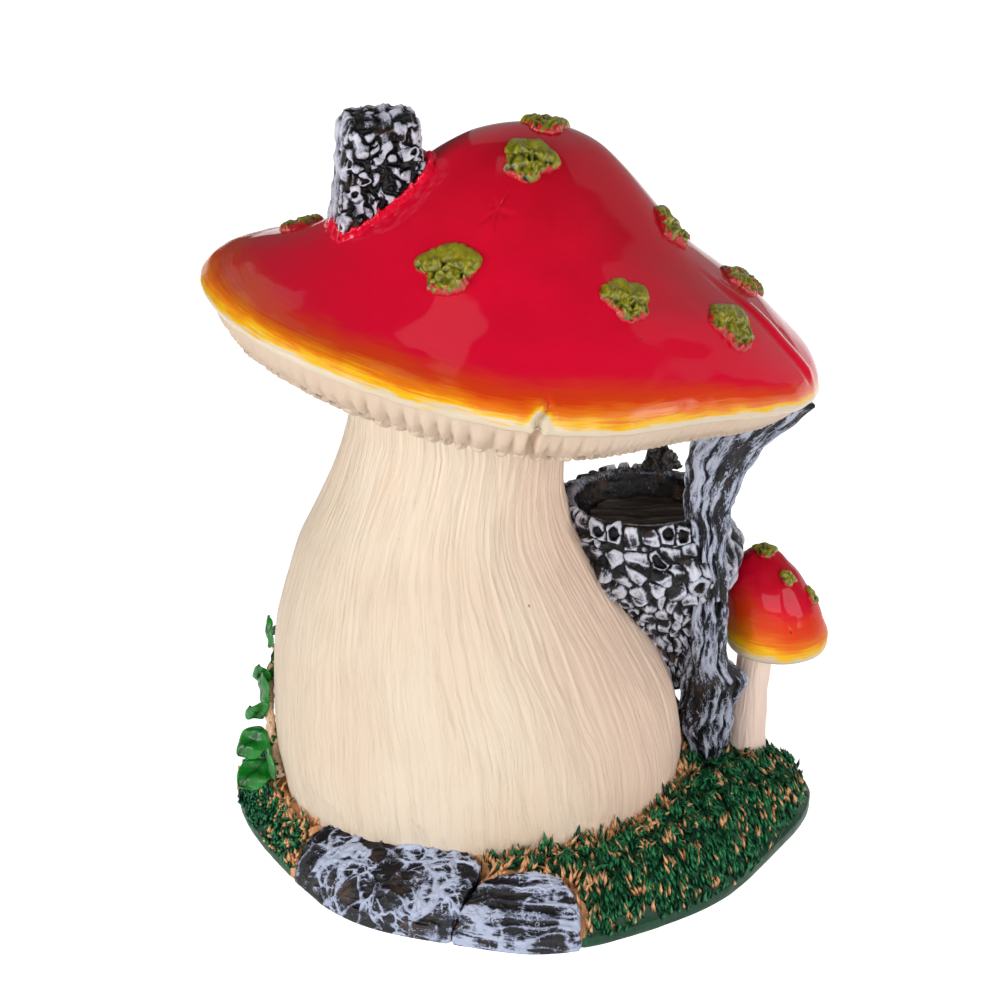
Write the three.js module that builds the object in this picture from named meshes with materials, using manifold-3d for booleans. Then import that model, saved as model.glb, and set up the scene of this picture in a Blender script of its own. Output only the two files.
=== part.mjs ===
// Mushroom fairy house: a cast and painted garden ornament, built as its separate cast and set pieces.
// Millimetres, +Z up. The origin is the centre of the flat underside. The side with the open
// balcony and the two slate slabs faces -Y, and the door is on the far side, facing +Y.

import * as THREE from 'three';
import { mergeVertices } from 'three/addons/utils/BufferGeometryUtils.js';
import Module from 'manifold-3d';

const wasm = await Module();
wasm.setup();

// Fit between a piece and its seat
const seatGap = 0.3;

// Ground mound
const moundHalfWidth = 80.5;
const moundFrontDepth = 75;
const moundBackDepth = 68;
const moundCrown = 17;
const moundSquareness = 1.75; // exponent of the plan outline, 2 would be an ellipse
const moundLobes = 0.012; // how far the outline wanders, as a share of its reach
const moundBackPinch = 0.2; // how far the outline is drawn in behind the small mushroom
const moundFrontPinch = 0.03; // and at the right of the front
const moundLeftPinch = 0.03; // and at the left
const backPinchTurn = 0.7; // directions of the three, in radians
const frontPinchTurn = -0.7;
const leftPinchTurn = -2.8;
const socketDepth = 6; // how deep each standing piece is set into the mound
const tuftPitch = 11; // spacing of the clumps of grass
const tuftHeight = 1.1; // how far a clump stands above, and a hollow below, the mean turf

// Stem, which is the body of the house
const neckHeight = 115; // height of its slimmest place
const bulbHalfWidth = 54.5;
const bulbHalfDepth = 48.5;
const neckHalfWidth = 27.5;
const neckHalfDepth = 27;
const stemFootX = -10.5;
const stemY = -4.5;
const stemLean = 11; // how far the waist leans to -X of the foot
const spigotInset = 3; // gill disc left above the end of the neck

// Cap: roof and gill disc, which share one tilted rim plane
const capTilt = THREE.MathUtils.degToRad(11.8); // the +X side is the lower one
const capLift = 25.7; // rim plane above the slimmest place of the neck, at the cap's middle
const capX = -3;
const capY = -4;
const capHalfWidth = 79.8;
const capHalfDepth = 66;
const capRise = 52;
const rimRoll = 1.5; // lip below the rim plane
const brimFlat = 0.1; // how far the brim is drawn in at the right of the front
const brimLift = 3; // how far it is raised there
const brimTurn = THREE.MathUtils.degToRad(-42); // direction of that place
const brimSpread = 0.5; // its half angle, radians
const farFlat = 0.1; // how far the brim is drawn in at the left of the far side
const farTurn = THREE.MathUtils.degToRad(140);
const farSpread = 0.55;
const gillDrop = 9.5; // depth of the gill disc below the lip
const gillLean = 0.25; // share by which it is shallower at +X
const gillRibs = 36;
const gillRibDepth = 0.7;
const registerRadius = 30; // round boss that centres the roof on the gill disc
const registerHeight = 4;

// Chimney
const chimneyX = -35.6;
const chimneyY = -8;
const chimneyRise = 55; // its top over the middle of the cap's rim plane
const chimneyHalfWidth = 8.6; // at the top
const chimneyHalfDepth = 7.4;
const chimneySplay = 4.6; // how much wider each side is at the foot
const chimneyLength = 44;
const chimneyTurn = THREE.MathUtils.degToRad(14);
const chimneySquareness = 5; // exponent of its plan
const chimneyCrown = 1.6; // swell of its closed top
const chimneyDepth = 3; // how deep its foot is set into the roof
const collarWidth = 2.2;
const collarHeight = 1.6;

// Moss patches: places on the roof, in the cap frame, with a size for each
const mossRadius = 6.8;
const mossHeight = 1.5;
const mossPlaces = [[-3, 1, 0.85], [-6, -14, 1], [32, -2, 0.95], [53, 4, 0.85], [49.4, -22.5, 1.05], [22, -33.3, 0.95],
  [-20.5, -33.5, 1.1], [-57, 14, 0.85], [-29, 13, 0.75], [12, 22, 1], [36, 25, 0.95], [-13, 36, 1],
  [16, 47, 0.9], [-38, 31, 0.9], [57, 17, 0.8]];
const smallMossRadius = 3;
const smallMossHeight = 0.9;
const smallMossPlaces = [[0.5, -0.5, 1.1], [5.6, -6, 0.8], [11, -2.5, 0.9], [-2, 8, 1]];

// Balcony bowl, its wood lining and the broken stub
const balconyX = 31;
const balconyY = 1.5;
const balconyHeight = 90.5;
const balconyHalfWidth = 21.5;
const balconyHalfDepth = 19.5;
const balconyDrop = 57; // rim to the tip of the corbel
const balconyWall = 3.2;
const balconyHollow = 8.5;
const deckThickness = 2.6;
const deckDish = 1; // how much lower its middle is
const stubX = 37.3;
const stubRadius = 3.6;
const stubHeight = 9;

// Tree post
const postX = 49;
const postFootY = -1;
const postTopY = -12.5;
const postHalfWidth = 4.4; // at its slimmest
const postHalfDepth = 4.6;

// Small mushroom
const smallStemX = 61.5;
const smallStemY = 5;
const smallStemRadius = 4.6;
const smallStemDrop = 2; // the turf is that much lower there than at its crown
const smallCapX = 68.2;
const smallCapY = 3;
const smallCapHeight = 46.4; // height of its rim
const smallCapRadius = 13.8;
const smallCapRise = 28;
const smallCapLean = 5; // how far its crown leans to -X
const smallSpigot = 6;

// Slabs at the front and stones of the path at the back
const slabRise = 1.6; // how far a slab stands above the turf
const pathStoneRadius = 6;
const pathStoneDepth = 3.5; // how deep a path stone is set into the turf
const pathPlaces = [[65.5, -8], [66, 7.5]]; // distance from the stem's middle towards the door, and shift aside

// Door, its stone surround, furniture and step, on the far side
const doorAzimuth = THREE.MathUtils.degToRad(97);
const doorWidth = 27;
const doorHeight = 46; // sill to crown of the arch
const doorSill = 18;
const doorThickness = 2.2;
const doorRecess = 6; // door face behind the bulb's widest place
const surroundWidth = 5;
const surroundProud = 2.4;
const surroundBedding = 2; // how far its back reaches behind the door's face
const strapLength = 17;
const strapWidth = 2.6;
const strapThickness = 0.9;
const knobRadius = 1.5;
const knobLength = 2.6;
const knobInset = 4.5; // its middle from the door's edge
const knobShare = 0.4; // its height, as a share of the door's
const stepWidth = 34;
const stepReach = 6;
const stepHeight = 2.4;
const stepTuck = 8; // how far it runs back under the wall
const stepBedding = 4; // how deep it is set into the turf
const wallAtStep = 3; // how far the wall has come out in front of the door at the step

// Round window over the door
const windowHeight = 84;
const windowRadius = 8;
const windowRecess = 3;
const windowFrame = 2.6;
const windowProud = 1.6;
const paneThickness = 1;
const barWidth = 1.6;

// Ivy at the left of the stem
const vineRadius = 1.1;
const vineStandOff = 0.9; // its middle line off the stem, in radii
const leafStandOff = 0.85; // root of a leaf off the far side of the vine, with the gap under it
const vineSteps = 14;
const vineSides = 6;
const leafThickness = 1.1;
const leafCurl = 0.16; // how far a leaf's tip curls down, as a share of its length

// Smooth curve through rows of [position, value], flat beyond both ends
function readCurve(rows, at) {
  const last = rows.length - 1;
  if (at <= rows[0][0]) return rows[0][1];
  if (at >= rows[last][0]) return rows[last][1];
  const start = rows.findIndex((row, index) => at < rows[index + 1][0]);
  const slope = (index) => {
    const before = rows[Math.max(index - 1, 0)];
    const after = rows[Math.min(index + 1, last)];
    return (after[1] - before[1]) / (after[0] - before[0]);
  };
  const span = rows[start + 1][0] - rows[start][0];
  const share = (at - rows[start][0]) / span;
  const square = share * share;
  const cube = square * share;
  return (2 * cube - 3 * square + 1) * rows[start][1]
    + (cube - 2 * square + share) * span * slope(start)
    + (3 * square - 2 * cube) * rows[start + 1][1]
    + (cube - square) * span * slope(start + 1);
}

function smoothStep(share) {
  const held = Math.min(Math.max(share, 0), 1);
  return held * held * (3 - 2 * held);
}

// One bump round a direction, 1 at its middle
function bumpAt(angle, middle, spread) {
  const away = Math.atan2(Math.sin(angle - middle), Math.cos(angle - middle));
  return Math.exp(-((away / spread) ** 2));
}

// Shared corners, no collapsed triangles, faces pointing out
function closedMesh(geometry) {
  const bare = geometry.clone();
  bare.deleteAttribute('normal');
  bare.deleteAttribute('uv');
  const merged = mergeVertices(bare, 1e-4);
  const corners = merged.getAttribute('position');
  const index = merged.getIndex().array;
  const kept = [];
  let volume = 0;
  const [a, b, c] = [new THREE.Vector3(), new THREE.Vector3(), new THREE.Vector3()];
  for (let i = 0; i < index.length; i += 3) {
    const [p, q, r] = [index[i], index[i + 1], index[i + 2]];
    if (p === q || q === r || r === p) continue;
    kept.push(p, q, r);
    a.fromBufferAttribute(corners, p);
    b.fromBufferAttribute(corners, q);
    c.fromBufferAttribute(corners, r);
    volume += a.dot(b.cross(c));
  }
  if (volume < 0) kept.reverse();
  merged.setIndex(kept);
  return merged;
}

function toSolid(geometry) {
  const closed = closedMesh(geometry);
  const vertProperties = new Float32Array(closed.getAttribute('position').array);
  const triVerts = new Uint32Array(closed.getIndex().array);
  return new wasm.Manifold(new wasm.Mesh({ numProp: 3, vertProperties, triVerts }));
}

// Slivers thinner than this are taken out of a cut shape
const sliver = 0.01;

function toGeometry(solid) {
  const { numProp, vertProperties, triVerts } = solid.simplify(sliver).getMesh();
  const count = vertProperties.length / numProp;
  const positions = new Float32Array(count * 3);
  for (let i = 0; i < count; i += 1) {
    for (let k = 0; k < 3; k += 1) positions[i * 3 + k] = vertProperties[i * numProp + k];
  }
  const geometry = new THREE.BufferGeometry();
  geometry.setAttribute('position', new THREE.BufferAttribute(positions, 3));
  geometry.setIndex(new THREE.BufferAttribute(new Uint32Array(triVerts), 1));
  return geometry;
}

function cut(geometry, ...tools) {
  return toGeometry(tools.reduce((solid, tool) => solid.subtract(toSolid(tool)), toSolid(geometry)));
}

function join(geometry, ...others) {
  return toGeometry(others.reduce((solid, other) => solid.add(toSolid(other)), toSolid(geometry)));
}

function common(geometry, other) {
  return toGeometry(toSolid(geometry).intersect(toSolid(other)));
}

// The same closed shape with every face moved outward by a distance
function offset(geometry, distance) {
  const closed = closedMesh(geometry);
  const corners = closed.getAttribute('position');
  const index = closed.getIndex().array;
  const faces = Array.from({ length: corners.count }, () => []);
  for (let i = 0; i < index.length; i += 3) {
    const [a, b, c] = [0, 1, 2].map((k) => new THREE.Vector3().fromBufferAttribute(corners, index[i + k]));
    const normal = b.sub(a).cross(c.sub(a));
    if (normal.length() < 1e-9) continue;
    normal.normalize();
    for (let k = 0; k < 3; k += 1) faces[index[i + k]].push(normal);
  }
  for (let i = 0; i < corners.count; i += 1) {
    const push = offsetCorner(faces[i], distance);
    corners.setXYZ(i, corners.getX(i) + push.x, corners.getY(i) + push.y, corners.getZ(i) + push.z);
  }
  return closed;
}

// Least-squares move of a corner whose faces each go out by the distance
function offsetCorner(normals, distance) {
  const softness = 0.02;
  const m = new THREE.Matrix3().set(softness, 0, 0, 0, softness, 0, 0, 0, softness);
  const e = m.elements;
  const right = new THREE.Vector3();
  for (const normal of normals) {
    const n = normal.toArray();
    for (let row = 0; row < 3; row += 1) {
      for (let column = 0; column < 3; column += 1) e[column * 3 + row] += n[row] * n[column];
    }
    right.addScaledVector(normal, distance);
  }
  return right.applyMatrix3(m.invert());
}

// Takes the last digits off a stored number, so that 0 and 1 come back as they were given
function rounded(value) {
  return Math.round(value * 1e6) / 1e6;
}

// A turned profile of [radius, level] rows whose corners are then placed one by one
function revolve(profile, sides, place) {
  const lathe = new THREE.LatheGeometry(profile.map(([radius, level]) => new THREE.Vector2(radius, level)), sides);
  lathe.rotateX(Math.PI / 2);
  const closed = closedMesh(lathe);
  const corners = closed.getAttribute('position');
  const corner = new THREE.Vector3();
  for (let i = 0; i < corners.count; i += 1) {
    corner.fromBufferAttribute(corners, i);
    const share = rounded(Math.hypot(corner.x, corner.y));
    const placed = place(Math.atan2(corner.y, corner.x), share, rounded(corner.z));
    corners.setXYZ(i, placed.x, placed.y, placed.z);
  }
  return closed;
}

// A closed drum whose round rows run from level 0 to 1, with both ends closed flat
function drumProfile(rows) {
  const profile = [[0, 0]];
  for (let row = 0; row <= rows; row += 1) profile.push([1, row / rows]);
  profile.push([0, 1]);
  return profile;
}

function extrude(shape, depth, curveSegments = 10) {
  return new THREE.ExtrudeGeometry(shape, { depth, bevelEnabled: false, curveSegments });
}

function moved(geometry, matrix) {
  return geometry.clone().applyMatrix4(matrix);
}

// Ground mound: outline, and height of the turf over it
const moundSection = [[0, 1], [0.4, 0.975], [0.65, 0.92], [0.8, 0.81], [0.9, 0.64], [0.965, 0.4], [1, 0.18]];
const moundSides = 112;
const moundRings = 15; // rings of the turf, closer together towards the edge

function moundReach(angle) {
  const halfDepth = Math.sin(angle) < 0 ? moundFrontDepth : moundBackDepth;
  const across = Math.abs(Math.cos(angle) / moundHalfWidth) ** moundSquareness;
  const along = Math.abs(Math.sin(angle) / halfDepth) ** moundSquareness;
  const wander = Math.sin(5 * angle + 0.6) + 0.7 * Math.sin(9 * angle + 2.2);
  const pinch = moundBackPinch * bumpAt(angle, backPinchTurn, 0.5)
    + moundFrontPinch * bumpAt(angle, frontPinchTurn, 0.6)
    + moundLeftPinch * bumpAt(angle, leftPinchTurn, 0.3);
  return (across + along) ** (-1 / moundSquareness) * (1 + moundLobes * wander - pinch);
}

function moundShare(x, y) {
  return Math.hypot(x, y) / moundReach(Math.atan2(y, x));
}

function turfHeight(x, y) {
  return moundCrown * readCurve(moundSection, moundShare(x, y));
}

// Clumps of grass: how far the turf is above its mean height
function tuftAt(x, y) {
  const across = x / tuftPitch + 0.35 * Math.sin(y / tuftPitch);
  const along = y / tuftPitch + 0.35 * Math.sin(x / tuftPitch + 1);
  return tuftHeight * Math.sin(2 * Math.PI * across) * Math.sin(2 * Math.PI * along);
}

function moundBlank() {
  const profile = [[0, 0], [1, 0]];
  for (let ring = 0; ring <= moundRings; ring += 1) {
    const share = 1 - (ring / moundRings) ** 1.3;
    profile.push([share, readCurve(moundSection, share)]);
  }
  return revolve(profile, moundSides, (angle, share, level) => {
    const reach = share * moundReach(angle);
    const [x, y] = [reach * Math.cos(angle), reach * Math.sin(angle)];
    const rooted = smoothStep((level - 0.2) / 0.3) * smoothStep(3 * share - 0.6);
    return new THREE.Vector3(x, y, level * moundCrown + rooted * tuftAt(x, y));
  });
}

// Cap frame: the rim plane tilted about Y, with the roof above it and the gill disc below
const capHeight = neckHeight + capLift;
const chimneyTop = capHeight + chimneyRise;
const capFrame = new THREE.Matrix4().makeTranslation(capX, capY, capHeight)
  .multiply(new THREE.Matrix4().makeRotationY(capTilt));

function rimPlaneHeight(x) {
  return capHeight - (x - capX) * Math.tan(capTilt);
}

// Stem: fullness and lean against height, both as shares
const stemFullness = [[0, 0.9], [0.09, 0.95], [0.2, 1], [0.3, 0.975], [0.4, 0.9], [0.52, 0.736], [0.61, 0.566],
  [0.7, 0.385], [0.78, 0.215], [0.87, 0.09], [1, 0]];
const stemSway = [[0, 0], [0.35, 0.3], [0.6, 0.82], [0.78, 1], [1, 0.6]];
const stemBottom = moundCrown - socketDepth;
const stemRows = 14;
const stemSides = 36;
const neckStart = 0.7; // share of the height from which the rings turn to the cap's tilt

function stemMiddle(z) {
  return stemFootX - stemLean * readCurve(stemSway, z / neckHeight);
}

function stemSpan(z) {
  const fullness = readCurve(stemFullness, z / neckHeight);
  return [
    neckHalfWidth + (bulbHalfWidth - neckHalfWidth) * fullness,
    neckHalfDepth + (bulbHalfDepth - neckHalfDepth) * fullness,
  ];
}

// Point on the stem's side, pushed out by a distance
function stemPoint(angle, z, proud = 0) {
  const [halfWidth, halfDepth] = stemSpan(z);
  return new THREE.Vector3(
    stemMiddle(z) + (halfWidth + proud) * Math.cos(angle),
    stemY + (halfDepth + proud) * Math.sin(angle),
    z,
  );
}

function stemGeometry(proud = 0) {
  const top = rimPlaneHeight(stemMiddle(neckHeight)) - rimRoll - seatGap - spigotInset + proud;
  const bottom = stemBottom - proud;
  return revolve(drumProfile(stemRows), stemSides, (angle, share, level) => {
    const z = bottom + (top - bottom) * level;
    const middle = stemMiddle(z);
    const point = stemPoint(angle, z, proud);
    point.x = middle + (point.x - middle) * share;
    point.y = stemY + (point.y - stemY) * share;
    // the neck's rings turn into the tilt of the cap
    const tip = smoothStep((z / top - neckStart) / (1 - neckStart));
    point.z -= tip * (point.x - middle) * Math.tan(capTilt);
    return point;
  });
}

// Cap outline and heights in the cap frame
const roofSectionRight = [[0, 1], [0.13, 0.955], [0.22, 0.875], [0.33, 0.74], [0.45, 0.59], [0.53, 0.51],
  [0.64, 0.425], [0.75, 0.345], [0.85, 0.24], [0.95, 0.128], [0.985, 0.06], [1, 0]];
const roofSectionLeft = [[0, 1], [0.14, 0.962], [0.27, 0.88], [0.37, 0.75], [0.5, 0.525], [0.62, 0.35],
  [0.72, 0.235], [0.82, 0.15], [0.9, 0.1], [0.975, 0.055], [1, 0]];
const gillSection = [[0, 0.55], [0.55, 0.9], [0.76, 1], [0.88, 0.92], [0.955, 0.52], [0.99, 0]];

const roofRings = [1, 0.98, 0.92, 0.84, 0.73, 0.62, 0.51, 0.4, 0.3, 0.2, 0.1, 0];
const roofSides = 44;

function capReach(angle) {
  const across = Math.cos(angle) / capHalfWidth;
  const along = Math.sin(angle) / capHalfDepth;
  const drawnIn = brimFlat * bumpAt(angle, brimTurn, brimSpread) + farFlat * bumpAt(angle, farTurn, farSpread);
  return (1 - drawnIn) / Math.hypot(across, along);
}

function brimWave(angle, share) {
  return brimLift * bumpAt(angle, brimTurn, brimSpread) * smoothStep(share);
}

function roofHeight(angle, share) {
  const toRight = (1 + Math.cos(angle)) / 2;
  const shape = toRight * readCurve(roofSectionRight, share) + (1 - toRight) * readCurve(roofSectionLeft, share);
  return capRise * shape + brimWave(angle, share);
}

// Point of the roof's outer face over a place of the rim plane
function roofPoint(x, y) {
  const angle = Math.atan2(y, x);
  const share = Math.min(Math.hypot(x, y) / capReach(angle), 1);
  const reach = share * capReach(angle);
  return new THREE.Vector3(reach * Math.cos(angle), reach * Math.sin(angle), roofHeight(angle, share));
}

function surfaceNormal(pointAt, x, y) {
  const step = 0.5;
  const across = pointAt(x + step, y).sub(pointAt(x - step, y));
  const along = pointAt(x, y + step).sub(pointAt(x, y - step));
  return across.cross(along).normalize();
}

// Place over a surface at distances along its own slope
function overSurface(pointAt, x, y) {
  const normal = surfaceNormal(pointAt, x, y);
  const across = new THREE.Vector3(1, 0, 0).addScaledVector(normal, -normal.x).normalize();
  const along = new THREE.Vector3().crossVectors(normal, across);
  const middle = pointAt(x, y);
  return (u, v, lift) => {
    const spot = middle.clone().addScaledVector(across, u).addScaledVector(along, v);
    return pointAt(spot.x, spot.y).addScaledVector(surfaceNormal(pointAt, spot.x, spot.y), lift);
  };
}

// Roof blank in the cap frame: a dome with a flat lip below
function roofBlank() {
  const profile = [[0, -1], [0.97, -1], ...roofRings.map((share) => [share, 0])];
  return revolve(profile, roofSides, (angle, share, level) => {
    const reach = share * capReach(angle);
    const z = level < 0 ? brimWave(angle, share) - rimRoll : roofHeight(angle, share);
    return new THREE.Vector3(reach * Math.cos(angle), reach * Math.sin(angle), z);
  });
}

function registerBoss(proud) {
  const boss = new THREE.CylinderGeometry(registerRadius + proud, registerRadius + proud,
    2 * registerHeight, 40);
  boss.rotateX(Math.PI / 2);
  boss.translate(0, 0, proud - seatGap - rimRoll);
  return boss;
}

// Gill disc in the cap frame: ribbed below, with the round boss above
function gillDisc() {
  const profile = [...gillSection.map(([share, drop]) => [share, -drop]), [0.96, 0.02], [0, 0.02]];
  const disc = revolve(profile, 2 * gillRibs, (angle, share, level) => {
    const reach = share * capReach(angle);
    const deep = gillDrop * (1 - gillLean * Math.max(Math.cos(angle), 0) ** 2);
    const ridge = gillRibDepth * Math.cos(gillRibs * angle) * smoothStep(2 * share) * smoothStep(-3 * level);
    const z = brimWave(angle, share) - rimRoll - seatGap + Math.min(level, 0) * deep - ridge;
    return new THREE.Vector3(reach * Math.cos(angle), reach * Math.sin(angle), z);
  });
  return join(disc, registerBoss(0));
}

function roofUnderFrame() {
  return cut(roofBlank(), registerBoss(seatGap));
}

// Chimney: a rounded block, splayed to its foot and turned a little
function chimneyGeometry(proud = 0, extraBelow = 0) {
  const bottom = chimneyTop - chimneyLength - extraBelow;
  const profile = [[0, 0], [1, 0], [1, 0.5], [1, 0.95], [0.86, 1], [0, 1]];
  return revolve(profile, 20, (angle, share, level) => {
    const spread = chimneySplay * (1 - level);
    const halfWidth = chimneyHalfWidth + spread + proud;
    const halfDepth = chimneyHalfDepth + spread + proud;
    const across = Math.abs(Math.cos(angle) / halfWidth) ** chimneySquareness;
    const along = Math.abs(Math.sin(angle) / halfDepth) ** chimneySquareness;
    const reach = share * (across + along) ** (-1 / chimneySquareness);
    const crown = level === 1 ? chimneyCrown * (1 - share) : 0;
    return new THREE.Vector3(
      chimneyX + reach * Math.cos(angle + chimneyTurn),
      chimneyY + reach * Math.sin(angle + chimneyTurn),
      bottom + level * (chimneyTop - bottom) + crown,
    );
  });
}

// Moss patch, lying on a surface given as a place over it
const mossSection = [[0, 1], [0.5, 0.92], [0.84, 0.64], [1, 0]];
const mossLobes = 0.28; // how far its lobes stand up and sink in, as a share of its height

function mossPatch(radius, height, onSurface, seed) {
  const profile = [[0, 0], [0.55, 0], ...mossSection.slice().reverse()];
  return revolve(profile, 15, (angle, share, level) => {
    const wander = 1 + 0.1 * Math.sin(3 * angle + seed) + 0.06 * Math.sin(5 * angle + 2 * seed);
    const reach = share * radius * wander;
    const lobe = mossLobes * Math.sin(5 * angle + seed) * Math.sin(Math.PI * Math.min(share, 1));
    const lift = seatGap + level * height * (1 + lobe);
    return onSurface(reach * Math.cos(angle), reach * Math.sin(angle), lift);
  });
}

// Balcony bowl: round rows from the corbel's tip to the rim
const bowlSides = 24;
const hollowFloor = 0.78; // width of the hollow at its floor, as a share of its width at the rim
const bowlFullness = [[0, 0.1], [0.14, 0.22], [0.26, 0.36], [0.39, 0.56], [0.51, 0.77], [0.63, 0.98], [0.75, 1.1],
  [0.88, 1.02], [1, 0.98]];
const bowlDrift = [[0, 10], [0.14, 9], [0.39, 6.5], [0.61, 4], [0.76, 3], [0.88, 1], [1, 0]]; // mm to +X of the rim

function bowlPoint(angle, share, level, proud) {
  const fullness = readCurve(bowlFullness, level);
  const x = balconyX + readCurve(bowlDrift, level) + share * (balconyHalfWidth * fullness + proud) * Math.cos(angle);
  const y = balconyY + share * (balconyHalfDepth * fullness + proud) * Math.sin(angle);
  return new THREE.Vector3(x, y, balconyHeight - balconyDrop * (1 - level));
}

function bowlHollow(proud = 0) {
  const reachUp = 4;
  return revolve(drumProfile(3), bowlSides, (angle, share, level) => {
    const shrink = 1 - (1 - hollowFloor) * (1 - level) ** 2;
    const z = balconyHeight - balconyHollow - proud + level * (balconyHollow + reachUp);
    const halfWidth = (balconyHalfWidth - balconyWall) * shrink + proud;
    const halfDepth = (balconyHalfDepth - balconyWall) * shrink + proud;
    return new THREE.Vector3(balconyX + share * halfWidth * Math.cos(angle),
      balconyY + share * halfDepth * Math.sin(angle), z);
  });
}

function bowlBlank(proud = 0) {
  return revolve(drumProfile(8), bowlSides, (angle, share, level) => bowlPoint(angle, share, level, proud));
}

// Wood lining at the bottom of the bowl, dished a little
function deckGeometry() {
  const bottom = balconyHeight - balconyHollow + seatGap;
  return revolve([[0, 0], [1, 0], [1, 1], [0.5, 1], [0, 1]], bowlSides, (angle, share, level) => {
    const halfWidth = (balconyHalfWidth - balconyWall) * hollowFloor - seatGap;
    const halfDepth = (balconyHalfDepth - balconyWall) * hollowFloor - seatGap;
    return new THREE.Vector3(
      balconyX + share * halfWidth * Math.cos(angle),
      balconyY + share * halfDepth * Math.sin(angle),
      bottom + level * (deckThickness - deckDish * (1 - share)),
    );
  });
}

// Broken stub standing on the far rim
function stubGeometry() {
  const base = balconyHeight + seatGap;
  const y = balconyY + balconyHalfDepth - balconyWall / 2;
  return revolve(drumProfile(3), 9, (angle, share, level) => {
    const reach = share * stubRadius * (1 - 0.35 * level) * (1 + 0.12 * Math.sin(2 * angle + 1));
    const broken = level === 1 ? 1.2 * Math.sin(angle) * share : 0;
    const flat = 0.6;
    return new THREE.Vector3(stubX + reach * Math.cos(angle), y + flat * reach * Math.sin(angle),
      base + level * stubHeight + broken);
  });
}

// Tree post: rows of [share of its height, shift to +X, half width], widening to a fork under the cap
const postFoot = moundCrown - socketDepth;
const postRows = [[0, 1, 4.6], [0.06, 1, 5.2], [0.12, 0.2, 6.6], [0.18, 0.6, 6.3], [0.25, 1.6, 7.5], [0.31, 0, 5.2],
  [0.38, -0.6, 4.4], [0.5, -0.6, 4.4], [0.61, -1.6, 4.2], [0.67, -1.6, 4.7], [0.72, -2.2, 6], [0.78, -1.2, 6.8],
  [0.805, -0.4, 7.2], [0.836, 0.4, 8], [0.868, 2.1, 8.5], [0.905, 4.7, 9.3], [0.954, 9, 9.8], [1, 12, 11]];
const postSlimHalf = 4.4; // the half width in the rows that postHalfWidth stands for
const postRings = 18;
const postSides = 10;

function postSection(share) {
  const shift = readCurve(postRows.map(([at, value]) => [at, value]), share);
  const half = readCurve(postRows.map(([at, , value]) => [at, value]), share);
  return {
    x: postX + shift,
    y: postFootY + (postTopY - postFootY) * smoothStep(share / 0.55),
    halfWidth: (half * postHalfWidth) / postSlimHalf,
    halfDepth: postHalfDepth * (1 + 0.3 * smoothStep((0.3 - share) / 0.2) + 0.5 * smoothStep((share - 0.75) / 0.25)),
  };
}

function postGeometry(proud = 0) {
  const top = rimPlaneHeight(postX) - 2 * rimRoll;
  return revolve(drumProfile(postRings), postSides, (angle, share, level) => {
    const { x, y, halfWidth, halfDepth } = postSection(level);
    const fluted = 1 + 0.07 * Math.cos(4 * angle + 6 * level);
    const aside = x + share * (halfWidth * fluted + proud) * Math.cos(angle);
    // the fork's rings turn into the tilt of the cap
    const drop = smoothStep((level - 0.8) / 0.2) * (aside - postX) * Math.tan(capTilt);
    return new THREE.Vector3(
      aside,
      y + share * (halfDepth * fluted + proud) * Math.sin(angle),
      postFoot - proud + level * (top - postFoot + 2 * proud) - drop,
    );
  });
}

// Small mushroom
function smallStemGeometry(proud = 0) {
  const foot = moundCrown - smallStemDrop - socketDepth;
  const top = smallCapHeight + smallSpigot;
  return revolve(drumProfile(5), 16, (angle, share, level) => {
    const flare = 1 + 0.28 * (1 - level) ** 3;
    const lean = 2.4 * level * level;
    const reach = share * (smallStemRadius * flare + proud);
    return new THREE.Vector3(smallStemX + lean + reach * Math.cos(angle), smallStemY + reach * Math.sin(angle),
      foot - proud + level * (top - foot + 2 * proud));
  });
}

const smallCapSection = [[0, 1], [0.2, 0.985], [0.42, 0.91], [0.62, 0.78], [0.8, 0.58], [0.92, 0.37], [1, 0.16],
  [0.985, 0.04]];

// Point of the small cap's upper face before it leans, from its rim's middle
function smallCapPoint(x, y) {
  const angle = Math.atan2(y, x);
  const share = Math.min(Math.hypot(x, y) / smallCapRadius, 1);
  const reach = share * smallCapRadius;
  return new THREE.Vector3(reach * Math.cos(angle), reach * Math.sin(angle),
    readCurve(smallCapSection.slice(0, -1), share) * smallCapRise);
}

function leanSmallCap({ x, y, z }) {
  const lean = smallCapLean * smoothStep(z / smallCapRise);
  return new THREE.Vector3(smallCapX + x - lean, smallCapY + y, smallCapHeight + z);
}

function smallCapBlank() {
  const under = [[0, 0.1], [0.4, 0.08], [0.85, 0]];
  const profile = [...under, ...smallCapSection.slice().reverse()];
  return revolve(profile, 24, (angle, share, level) => {
    const reach = share * smallCapRadius;
    return leanSmallCap({ x: reach * Math.cos(angle), y: reach * Math.sin(angle), z: level * smallCapRise });
  });
}

// A flat stone seen from above: corners joined by straight edges, with the turf's own slope on top
function edgeReach(corners, middle, angle) {
  const way = new THREE.Vector2(Math.cos(angle), Math.sin(angle));
  let reach = Infinity;
  corners.forEach(([x, y], index) => {
    const [nextX, nextY] = corners[(index + 1) % corners.length];
    const edge = new THREE.Vector2(nextX - x, nextY - y);
    const start = new THREE.Vector2(x - middle.x, y - middle.y);
    const turn = way.cross(edge);
    if (Math.abs(turn) < 1e-9) return;
    const along = start.cross(edge) / turn;
    const across = start.cross(way) / turn;
    if (along > 0 && across >= -1e-6 && across <= 1 + 1e-6) reach = Math.min(reach, along);
  });
  return reach;
}

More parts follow.
